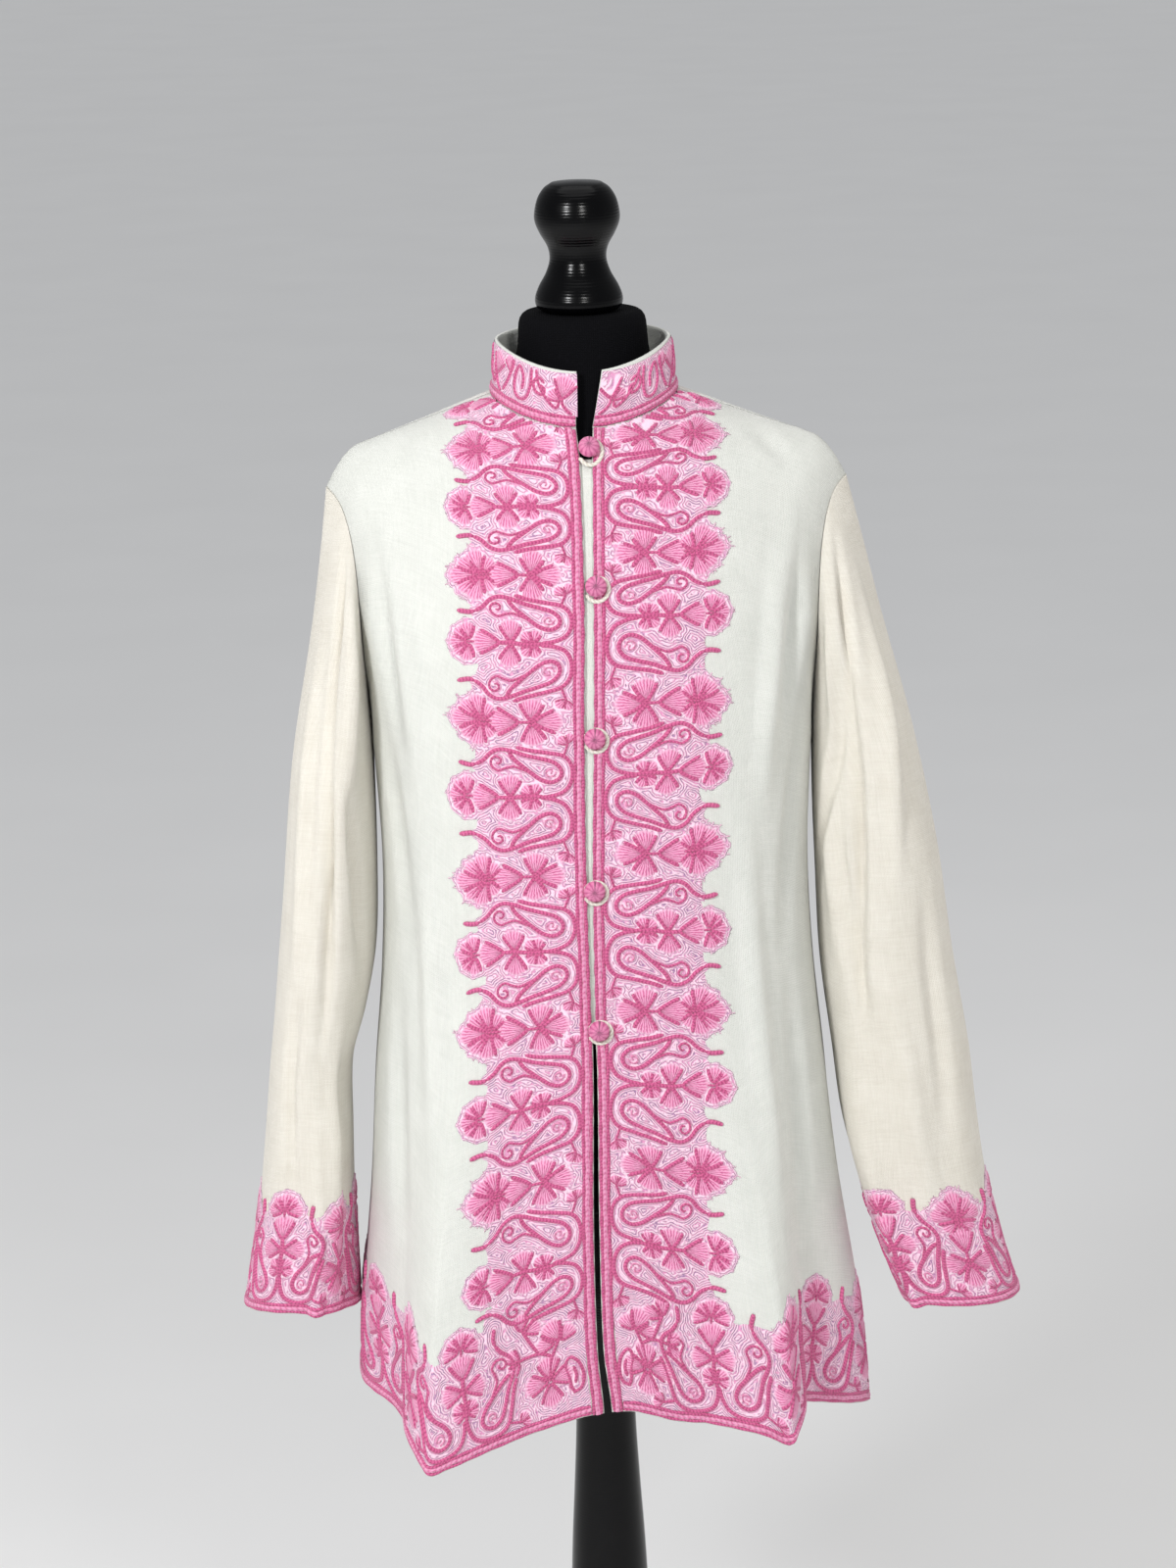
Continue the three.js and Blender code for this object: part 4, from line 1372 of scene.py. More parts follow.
@dataclass
class Chart:
    """A cloth's face on a square net: so far along from one edge, and so far up from the other."""

    points: Array
    normals: Array
    room: Array
    step: float

    @staticmethod
    def over(panel: Panel, heights: Array, size: Pair, mirrored: bool, length: float = 0.0) -> Chart:
        """Measures a panel.

        Args:
            panel: the cloth.
            heights: how far up each point of its grid lies.
            size: how far along and how far up the net goes.
            mirrored: whether along is measured from the grid's last column.
            length: if not 0, each row is stretched to this length, as round a tube.

        Returns:
            The net, with the room left to the nearest seam at each of its points.
        """
        step = 2.0
        grid = panel.points[:, ::-1] if mirrored else panel.points
        high = heights[:, ::-1] if mirrored else heights
        if panel.closed:
            grid = np.concatenate([grid, grid[:, :1]], 1)
            high = np.concatenate([high, high[:, :1]], 1)
        up = np.arange(0, size[1] + step, step)
        places = np.arange(0, size[0] + step, step)
        columns = [carried_on(grid[:, i], high[:, i], up) for i in range(grid.shape[1])]
        rows, rooms = [], []
        for row, height in zip(np.stack(columns, 1), up):
            reach = along(row)
            marks = reach * (length / reach[-1]) if length else reach
            rows.append(carried_on(row, marks, places))
            top = np.interp(places, marks, high[-1]) - height
            sides = np.full(len(places), 1e3) if length else reach[-1] - places
            rooms.append(np.minimum(top, sides))
        points = np.stack(rows)
        normals = unit(np.cross(np.gradient(points, axis=1), np.gradient(points, axis=0)))
        if mirrored:
            normals = -normals
        return Chart(points, normals, np.stack(rooms), step)

    def place(self, places: Array, lift: Array) -> tuple[Array, Array]:
        """Points over the cloth, and the room at each.

        Args:
            places: pairs of how far along and how far up.
            lift: how far above the cloth.

        Returns:
            The points and the room, read between the net's own by both distances.
        """
        shape = self.room.shape
        a = np.clip(places[..., 0] / self.step, 0, shape[1] - 1.001)
        b = np.clip(places[..., 1] / self.step, 0, shape[0] - 1.001)
        i, k = a.astype(int), b.astype(int)
        s, t = (a - i)[..., None], (b - k)[..., None]

        def read(net: Array) -> Array:
            """The net's value between its four nearest points."""
            low = net[k, i] * (1 - s) + net[k, i + 1] * s
            high = net[k + 1, i] * (1 - s) + net[k + 1, i + 1] * s
            return low * (1 - t) + high * t

        room = read(self.room[..., None])[..., 0]
        return read(self.points) + unit(read(self.normals)) * np.asarray(lift)[..., None], room


# The worked borders


class Tone(Enum):
    """The threads of the borders."""

    DARK = "dark"
    PLAIT = "plait"
    PALE = "pale"


@dataclass(frozen=True)
class Stroke:
    """A worked line: its places on the pattern, its width and height, and its thread."""

    line: Array
    wide: float
    high: float
    tone: Tone = Tone.DARK
    bare: bool = False


@dataclass(frozen=True)
class Petal:
    """A petal filled with stitches, from its apex at the flower's heart."""

    apex: Pair
    turn: float
    length: float
    half: float

    def outline(self, across: Array, out: Array) -> Array:
        """Place on the petal: rays from the apex to a rounded end.

        Args:
            across: from -1 to 1 over the fan.
            out: from 0 at the apex to 1 at the end.

        Returns:
            Places on the pattern.
        """
        scallop = 1 + 0.035 * np.cos(across * 3 * np.pi) * out
        x = self.length * (0.7 + 0.3 * np.cos(across * np.pi / 2)) * out * scallop
        y = self.half * np.sin(across * np.pi / 2) * out**0.8
        cosine, sine = math.cos(math.radians(self.turn)), math.sin(math.radians(self.turn))
        return np.stack([self.apex[0] + x * cosine - y * sine, self.apex[1] + x * sine + y * cosine], -1)

    def edges(self) -> list[Array]:
        """The two dark lines up the petal's sides."""
        out = np.linspace(0.0, 1.04, 9)
        return [self.outline(np.full(9, side), out) for side in (-1.0, 1.0)]


@dataclass
class Motifs:
    """Strokes and petals of one stretch of a border, in places of along and out."""

    strokes: list[Stroke] = field(default_factory=list)
    petals: list[Petal] = field(default_factory=list)

    def add_petal(self, petal: Petal, wide: float) -> None:
        """A petal with its two dark sides."""
        self.petals.append(petal)
        self.strokes += [Stroke(respaced(edge, 2.2), wide, 1.5) for edge in petal.edges()]

    def copied(self, centre: float, turned: bool, stretch: float = 1.0, lean: float = 0.0) -> Motifs:
        """A copy at another place along the border.

        Args:
            centre: where its own zero comes to lie.
            turned: whether it is mirrored along the border.
            stretch: how much longer it is along the border.
            lean: how far it leans along the border for each millimetre out.

        Returns:
            The copy.
        """
        sign = -stretch if turned else stretch

        def moved(places: Array) -> Array:
            """The places in the copy."""
            return np.stack([centre + sign * places[..., 0] + lean * places[..., 1], places[..., 1]], -1)

        strokes = [Stroke(moved(s.line), s.wide, s.high, s.tone, s.bare) for s in self.strokes]
        petals = []
        for petal in self.petals:
            way = np.array([math.cos(math.radians(petal.turn)), math.sin(math.radians(petal.turn))])
            way = way * [sign, 1] + [lean * way[1], 0]
            apex = moved(np.array(petal.apex))
            turn = math.degrees(math.atan2(way[1], way[0]))
            petals.append(Petal((apex[0], apex[1]), turn, petal.length, petal.half))
        return Motifs(strokes, petals)

    def merge(self, other: Motifs) -> None:
        """Takes in another's strokes and petals."""
        self.strokes += other.strokes
        self.petals += other.petals


@dataclass(frozen=True)
class BorderDesign:
    """The border's repeat: two kinds of flower spray, with a paisley hook between each two.

    Each shape is drawn with its first number along the border and its second out from its edge.
    """

    half: float = 57.25
    dark: float = 3.9
    side: float = 4.0

    def blossoms(self, petals: tuple[tuple[float, ...], ...], side: float) -> Motifs:
        """Petals that start beside the middle line and are drawn to both sides, or start on it.

        Args:
            petals: each one's start, beside the middle and out, its turn, length and half width.
            side: width of their outlines.

        Returns:
            The petals with their outlines.
        """
        made = Motifs()
        for beside, out, turn, length, half in petals:
            if beside:
                made.add_petal(Petal((-beside, out), 180 - turn, length, half), side)
            made.add_petal(Petal((beside, out), turn, length, half), side)
        return made

    def wide_spray(self) -> Motifs:
        """A four-petalled blossom by the edge, and a five-lobed one beyond it.

        Returns:
            Its strokes and petals.
        """
        petals = (
            (1.2, 38, -4, 17, 8.4), (0, 36.5, 270, 21, 8.2), (0, 47, 90, 22, 9.6),
            (1.2, 74.5, 20, 18.5, 7.6), (0, 76, 90, 22.5, 7), (1, 75.5, 52, 19, 5.4),
            (1.5, 72, -25, 12, 5),
        )
        made = self.blossoms(petals, self.side)
        made.strokes.append(Stroke(respaced(np.array([[0, 36.5], [0.0, 48]]), 2.2), 2.8, 1.7))
        made.strokes.append(Stroke(respaced(np.array([[0, 66.0], [0, 79]]), 2.2), 2.6, 1.7))
        return made

    def slim_spray(self) -> Motifs:
        """A stemmed blossom with a pair of leaves below and a small five-lobed one beyond it.

        Returns:
            Its strokes and petals.
        """
        petals = (
            (1.2, 54, 2, 16, 7.8), (0, 62.5, 90, 20, 8.8), (2, 85, 12, 12.5, 5.8),
            (0, 87, 90, 13, 5.6), (1.5, 86.5, 52, 12.5, 4.4), (1, 37.5, -16, 9.5, 4),
            (1, 38.5, 42, 10, 4),
        )
        made = self.blossoms(petals, self.side - 0.2)
        stem = spline(((0, 30), (0.6, 42), (-0.4, 54), (0, 64)), 2.2)
        made.strokes.append(Stroke(stem, self.dark, 1.7))
        made.strokes.append(Stroke(respaced(np.array([[0, 81.0], [0, 88]]), 2.2), 2.4, 1.6))
        return made

    def hook(self) -> Motifs:
        """A paisley hook: its head by the edge, its tail curled over a spiral, and an arc round its head.

        Returns:
            Its strokes and petals.
        """
        made = Motifs()
        outline = (
            (30.7, 93), (31.9, 83), (28, 74.5), (21.8, 68.5), (18.9, 61.5), (20.4, 53), (24.2, 43),
            (27.3, 32), (30.6, 23), (36.4, 17.9), (42.4, 19), (45.4, 25), (43, 32.5), (37.6, 39.5),
            (32, 46), (26.8, 51.6), (21.4, 55.4),
        )
        spiral = (
            (37.2, 40.4), (34.4, 46.4), (32.2, 52.4), (33.4, 58.3), (35, 63.3), (31.4, 68),
            (26.6, 68), (24.4, 64.2), (26.6, 61), (29.7, 62), (29.4, 64.6),
        )
        arc = (
            (17.4, 50), (20.2, 41), (22.8, 28), (25.8, 16.4), (32.6, 10.6), (42.8, 9.8), (51.6, 14.2),
            (55.6, 23), (56.8, 32),
        )
        swirl = ((38.6, 25.6), (36, 24.2), (35.4, 27), (38, 29.2), (40.6, 27.6), (40.6, 23.6), (37.4, 21.6))
        branch = ((25.8, 16.4), (20.5, 14.6), (15.5, 12.6))
        tail = spline(outline, 2.2)
        bare = tail[:, 1] > 82
        cut = int(bare.sum())
        made.strokes += [
            Stroke(tail[: cut + 1], self.dark, 1.7, bare=True),
            Stroke(tail[cut:], self.dark, 1.7),
            Stroke(spline(spiral, 2.0), 2.4, 1.5),
            Stroke(spline(arc, 2.2), self.dark, 1.6),
            Stroke(spline(swirl, 1.8), 1.8, 1.2, Tone.PLAIT),
            Stroke(spline(branch, 2.0), 2.4, 1.4),
        ]
        made.add_petal(Petal((17, 13.4), 128, 9, 3.6), 1.8)
        made.add_petal(Petal((16, 12.6), 196, 8, 3.2), 1.8)
        return made

    def corner_spray(self) -> Motifs:
        """The flower that fills the corner where two borders meet, with a teardrop beside it.

        Returns:
            Its strokes and petals.
        """
        made = Motifs()
        for beside, out, turn, length, half in (
            (0.5, 39, 88, 20, 8.6), (1.8, 37, 4, 19, 8.4), (-1.4, 37, 172, 17, 7.8),
            (0, 35, 268, 20, 8.4), (-8, 68, 62, 19, 8.2), (-10, 67, 128, 14, 6.2),
            (-4, 66, 8, 14, 5.8), (21, 84, 96, 14, 6), (18, 82, 168, 14, 5.8),
            (24, 62, 40, 13, 5.4), (24, 60, 320, 11, 4.8),
        ):
            made.add_petal(Petal((beside, out), turn, length, half), self.side - 0.4)
        drop = (
            (-17, 21), (-24, 25), (-26, 35), (-23, 45), (-16, 51), (-12.5, 45), (-15, 35), (-16, 26),
            (-19, 21),
        )
        for line in (
            drop,
            ((0, 37), (-1, 52), (-4, 60), (-8, 69)),
            ((-2, 57), (8, 62), (20, 62), (24, 61)),
            ((8, 62), (14, 72), (20, 84)),
            ((-19.5, 29), (-20.5, 36), (-18.5, 43)),
        ):
            made.strokes.append(Stroke(spline(line, 2.2), 3.2, 1.6))
        return made

    def stretch(
        self, centres: tuple[float, ...], first_spray: int, seed: int, wide_first: bool = True
    ) -> Motifs:
        """Sprays at places along a border, wide and slim by turns, with a hook between each two.

        Args:
            centres: the middles of the sprays.
            first_spray: number of the first spray worked; before it there are only hooks.
            seed: chooses the small differences between the repeats.
            wide_first: whether the first centre is that of a wide spray.

        Returns:
            All their strokes and petals.
        """
        random = np.random.default_rng(seed)
        made = Motifs()
        hook = self.hook()
        sprays = (self.wide_spray(), self.slim_spray())[:: 1 if wide_first else -1]
        for number, centre in enumerate(centres):
            gaps = np.diff(centres)[max(number - 1, 0) : number + 1]
            grow = float(gaps.mean()) / self.half * random.uniform(0.97, 1.04)
            if number >= first_spray:
                mirrored, lean = bool(random.integers(2)), random.uniform(-0.03, 0.03)
                made.merge(sprays[number % 2].copied(centre, mirrored, grow, lean))
            if number + 1 < len(centres):
                gap = centres[number + 1] - centre
                mirrored, lean = (number % 2 == 0) != wide_first, random.uniform(-0.02, 0.02)
                made.merge(hook.copied(centre + gap * mirrored, mirrored, gap / self.half, lean))
        return made


@dataclass(frozen=True)
class CollarDesign:
    """The collar's repeat: a fan on a bent stem, a swirl in an arc, and a teardrop."""

    repeat: float = 64.0

    def unit(self) -> Motifs:
        """One repeat, drawn between the braid and the collar's top.

        Returns:
            Its strokes and petals.
        """
        made = Motifs()
        made.add_petal(Petal((10, 20), 104, 17.5, 8.6), 3.0)
        made.add_petal(Petal((11.5, 18.5), 32, 11, 4.8), 2.6)
        lines = (
            ((10, 21), (9.5, 16), (6, 11.5), (2.5, 9.5)),
            ((30.5, 37), (28.5, 28), (22, 18.5), (14.5, 13), (12, 18)),
            ((23.5, 29), (28.5, 32), (32.6, 27), (30.5, 21.5), (25.4, 20.4), (23.2, 24.4), (26.6, 27)),
            (
                (34.5, 37), (35, 26), (38.5, 15), (44.5, 11.6), (49.8, 15.6), (50, 26), (45.6, 35),
                (41.6, 28), (42.8, 19),
            ),
            ((52.4, 37), (54.5, 28), (59, 18), (64, 11)),
        )
        made.strokes += [Stroke(spline(line, 2.0), 3.0, 1.5) for line in lines]
        made.add_petal(Petal((54.4, 27), 74, 12, 5.4), 2.4)
        return made

    def stretch(self, length: float, seed: int) -> Motifs:
        """Repeats from both ends, mirrored about the middle of the back.

        Args:
            length: the collar's whole length.
            seed: chooses how each repeat leans.

        Returns:
            All their strokes and petals.
        """
        made = Motifs()
        random = np.random.default_rng(seed)
        count = round(length / 2 / self.repeat)
        scale = length / 2 / self.repeat / count
        for step in range(count):
            lean = random.uniform(-0.06, 0.06)
            made.merge(self.unit().copied(step * self.repeat * scale, False, scale, lean))
            made.merge(self.unit().copied(length - step * self.repeat * scale, True, scale, -lean))
        return made


@dataclass
class Embroidery:
    """Works motifs onto a chart."""

    chart: Chart
    name: str
    across: bool
    wave: float = 1.1
    seed: int = 1
    keep: float = 0.7
    raised: float = 0.6
    around: float = 0.0

    def drawn(self, places: Array) -> Array:
        """Where a place on the pattern comes to lie on the chart, wandering a little as handwork does.

        Args:
            places: pairs of how far along and how far out.

        Returns:
            Their places on the chart.
        """
        a, out = places[..., 0], places[..., 1]
        if self.around:
            calm = self.wave * 0.5 * np.sin(a * (6 * np.pi / self.around) + self.seed)
            return np.stack([(a + calm * ease(out / 20)) % self.around, out + calm * ease(out / 20)], -1)
        phase = self.seed * 1.7
        wander = 0.6 * np.sin(a / 13 + phase) + 0.4 * np.sin(a / 29 + out / 17 + 2 * phase)
        drift = 0.6 * np.sin(out / 15 + a / 41 + 3 * phase) + 0.4 * np.sin(a / 23 - phase)
        moved = np.stack([a + self.wave * drift, out + self.wave * wander * ease(out / 20)], -1)
        return moved if self.across else moved[..., ::-1]

    def rope(self, stroke: Stroke) -> list[Surface]:
        """A raised line of stitches: a low arched profile carried along the stroke, closed below.

        Args:
            stroke: the line.

        Returns:
            The parts of it that lie on the cloth.
        """
        line = stroke.line
        if self.around and not -4 < line[:, 0].mean() < self.around - 4:
            line = line + [self.around if line[:, 0].mean() < 0 else -self.around, 0]
        way = unit(np.gradient(line, axis=0))
        beside = np.stack([-way[:, 1], way[:, 0]], -1)
        length = along(line)
        taper = np.minimum(1, 0.6 + np.minimum(length, length[-1] - length) / 3.5)
        if stroke.tone is not Tone.DARK:
            taper = np.ones(len(line))
        profile = np.array([-0.5, -0.3, 0.0, 0.3, 0.5])
        rise = np.array([-0.3, 0.78, 1.0, 0.78, -0.3])
        width = (stroke.wide * taper)[:, None, None]
        places = line[:, None] + beside[:, None] * (profile[:, None] * width)
        lift = 0.35 + rise * stroke.high * taper[:, None]
        points, room = self.chart.place(self.drawn(places), lift)
        keep = (room.min(1) > self.keep) & (places[..., 1].min(1) > -0.6)
        if not self.around:
            keep &= places[..., 0].min(1) > -0.6
        cuts = np.flatnonzero(np.diff(np.concatenate([[False], keep, [False]]).astype(int)))
        made = []
        for start, end in zip(cuts[::2], cuts[1::2]):
            if end - start < 3:
                continue
            ring = points[start:end]
            count = end - start
            index = np.arange(count * 5).reshape(count, 5)
            faces = grid_faces(index, True, self.flipped)
            u = np.broadcast_to((length[start:end] * METRES)[:, None], (count, 5))
            uv = np.stack([u, np.broadcast_to(profile + 0.5, (count, 5))], -1)
            made.append(Surface(ring.reshape(-1, 3), faces, uv.reshape(-1, 2)))
        return made

    @property
    def flipped(self) -> bool:
        """Whether faces drawn on the chart have to be turned over to look outwards."""
        drawn = self.drawn(np.array([[10.0, 10.0], [11.0, 10.0], [10.0, 11.0]]))
        corner = self.chart.place(drawn, np.zeros(3))[0]
        normal = self.chart.place(drawn[:1], np.ones(1))[0][0] - corner[0]
        return bool(np.dot(np.cross(corner[1] - corner[0], corner[2] - corner[0]), normal) < 0)

    def fill(self, petal: Petal) -> list[Surface]:
        """A domed petal: rays across and steps out, highest in the middle and sunk at the rim.

        Args:
            petal: the petal.

        Returns:
            Its surface, or nothing where it would leave the cloth.
        """
        across, out = np.meshgrid(np.linspace(-1, 1, 8), np.linspace(0.12, 1.0, 6))
        places = petal.outline(across, out)
        dome = np.sqrt(np.clip(1 - across**2, 0, 1)) * np.sin(np.clip(out, 0, 1) * np.pi * 0.86) ** 0.6
        rim = ease((1 - out) / 0.18)
        lift = 0.25 + 1.5 * dome * (0.25 + 0.75 * rim)
        points, room = self.chart.place(self.drawn(places), lift)
        if room.min() < self.keep or places.min() < 0 and not self.around:
            return []
        index = np.arange(across.size).reshape(across.shape)
        uv = np.stack([across * petal.half / 8, out], -1)
        return [Surface(points.reshape(-1, 3), grid_faces(index, turned=self.flipped), uv.reshape(-1, 2))]

    def tips(self, petals: list[Petal]) -> list[Stroke]:
        """Loose pale thread ends beyond the outermost petals.

        Args:
            petals: every petal of the border.

        Returns:
            A short line for each thread.
        """
        random = np.random.default_rng(self.seed)
        made = []
        for petal in petals:
            if petal.apex[1] < 70 or petal.length < 12:
                continue
            for across in random.uniform(-0.7, 0.7, 3):
                base = petal.outline(np.full(3, across), np.array([0.95, 1.1, 1.24]))
                base[:, 0] += random.normal(0, 0.5, 3)
                made.append(Stroke(base, 0.9, 0.6, Tone.PALE))
        return made

    def distances(self, motifs: Motifs, size: Stretch, step: float) -> tuple[Array, Array]:
        """Distance from each point of a net to the nearest drawn line or petal.

        Args:
            motifs: what is drawn.
            size: first and last place along, then out.
            step: the net's step.

        Returns:
            The net's places, and the distance with the bare tails counted and without them.
        """
        a = np.arange(size[0], size[1] + step, step)
        out = np.arange(size[2], size[3] + step, step)
        places = np.stack(np.meshgrid(a, out), -1)
        fans = np.stack(np.meshgrid(np.linspace(-1, 1, 7), np.linspace(0.15, 1, 7)), -1).reshape(-1, 2)
        spots = [
            np.column_stack([s.line, np.full(len(s.line), s.wide / 2), np.full(len(s.line), s.bare)])
            for s in motifs.strokes
        ]
        for petal in motifs.petals:
            inside = petal.outline(fans[:, 0], fans[:, 1])
            spots.append(np.column_stack([inside, np.full(len(inside), 1.0), np.zeros(len(inside))]))
        spot = np.concatenate(spots)
        best = np.full(places.shape[:2], 60.0)
        bare = best.copy()
        block, reach = 24, 22.0
        for i in range(0, places.shape[1], block):
            part = places[:, i : i + block]
            low, high = part[0, 0, 0] - reach, part[0, -1, 0] + reach
            near = spot[(spot[:, 0] > low) & (spot[:, 0] < high)]
            if not len(near):
                continue
            for k in range(0, places.shape[0], block):
                tile = part[k : k + block]
                bottom, top = tile[0, 0, 1] - reach, tile[-1, 0, 1] + reach
                close = near[(near[:, 1] > bottom) & (near[:, 1] < top)]
                if not len(close):
                    continue
                gap = np.hypot(tile[..., 0, None] - close[:, 0], tile[..., 1, None] - close[:, 1])
                gap -= close[:, 2]
                best[k : k + block, i : i + block] = gap.min(-1)
                bare[k : k + block, i : i + block] = (gap + 40 * close[:, 3]).min(-1)
        return places, np.stack([best, bare])

    def ground(self, motifs: Motifs, size: Stretch, dip: float, corner: float = -99) -> Surface:
        """The worked ground: a net kept near what is drawn, its rim drawn in to the edge and sunk.

        Args:
            motifs: what is drawn on it.
            size: first and last place along, then out.
            dip: how far out it is filled in any case.
            corner: up to this place along it is filled to the last place out.

        Returns:
            The sheet, with its distance from the lines at each point.
        """
        step = 1.9
        places, (echo, bare) = self.distances(motifs, size, step)
        uneven = 1.4 * np.sin(places[..., 0] / 9.5 + self.seed) + 0.8 * np.sin(places[..., 0] / 4.1)
        inner = places[..., 1] - dip - uneven - 40 * ease((corner - places[..., 0]) / 14)
        edge = np.minimum(bare - 2.3, np.maximum(inner, bare - 26))
        inside = edge < 0
        cells = inside[:-1, :-1] | inside[1:, :-1] | inside[:-1, 1:] | inside[1:, 1:]
        slope = np.stack(np.gradient(edge, step)[::-1], -1)
        steepness = np.maximum((slope**2).sum(-1), 0.3)
        pulled = places - slope * (np.clip(edge, 0, 2 * step) / steepness)[..., None]
        places = np.where(inside[..., None], places, pulled)
        lift = np.where(inside, self.raised, -0.15)
        points, room = self.chart.place(self.drawn(places), lift)
        kept = room > 0.3
        cells &= kept[:-1, :-1] & kept[1:, :-1] & kept[:-1, 1:] & kept[1:, 1:]
        index = np.arange(echo.size).reshape(echo.shape)
        faces = grid_faces(index, turned=self.flipped)[cells.ravel()]
        used, faces = np.unique(faces, return_inverse=True)
        faces = faces.reshape(-1, 4)
        uv = (places.reshape(-1, 2) * METRES)[used]
        return Surface(points.reshape(-1, 3)[used], faces, uv, {"echo": echo.ravel()[used]})

    def work(self, motifs: Motifs, ground: Surface, finishes: Finishes) -> list[Object]:
        """Makes the objects of one border.

        Args:
            motifs: its strokes and petals.
            ground: its worked ground.
            finishes: the threads.

        Returns:
            One object a thread.
        """
        made = []
        strokes = motifs.strokes + self.tips(motifs.petals)
        threads = {Tone.DARK: finishes.dark, Tone.PLAIT: finishes.plait, Tone.PALE: finishes.pale}
        for tone, material in threads.items():
            parts = [part for stroke in strokes if stroke.tone is tone for part in self.rope(stroke)]
            if parts:
                made.append(Surface.joined(parts).to_object(f"{self.name}_{tone.value}_lines", material))
        fills = [part for petal in motifs.petals for part in self.fill(petal)]
        made.append(Surface.joined(fills).to_object(f"{self.name}_petals", finishes.petal))
        made.append(ground.to_object(f"{self.name}_ground", finishes.ground))
        return made


def braid(start: float, end: float) -> list[Stroke]:
    """The braid along an edge: two dark ropes with a lighter plait between them.

    Args:
        start: where along the edge it begins.
        end: where it ends.

    Returns:
        Its three lines.
    """
    places = np.arange(start, end + 1.8, 1.8)
    rows = ((1.9, 3.0, 1.4, Tone.DARK), (4.6, 4.4, 1.8, Tone.PLAIT), (7.4, 3.0, 1.4, Tone.DARK))
    return [
        Stroke(np.stack([places, out + 0.25 * np.sin(places / 2.9 + out)], -1), wide, high, tone)
        for out, wide, high, tone in rows
    ]


# The pieces


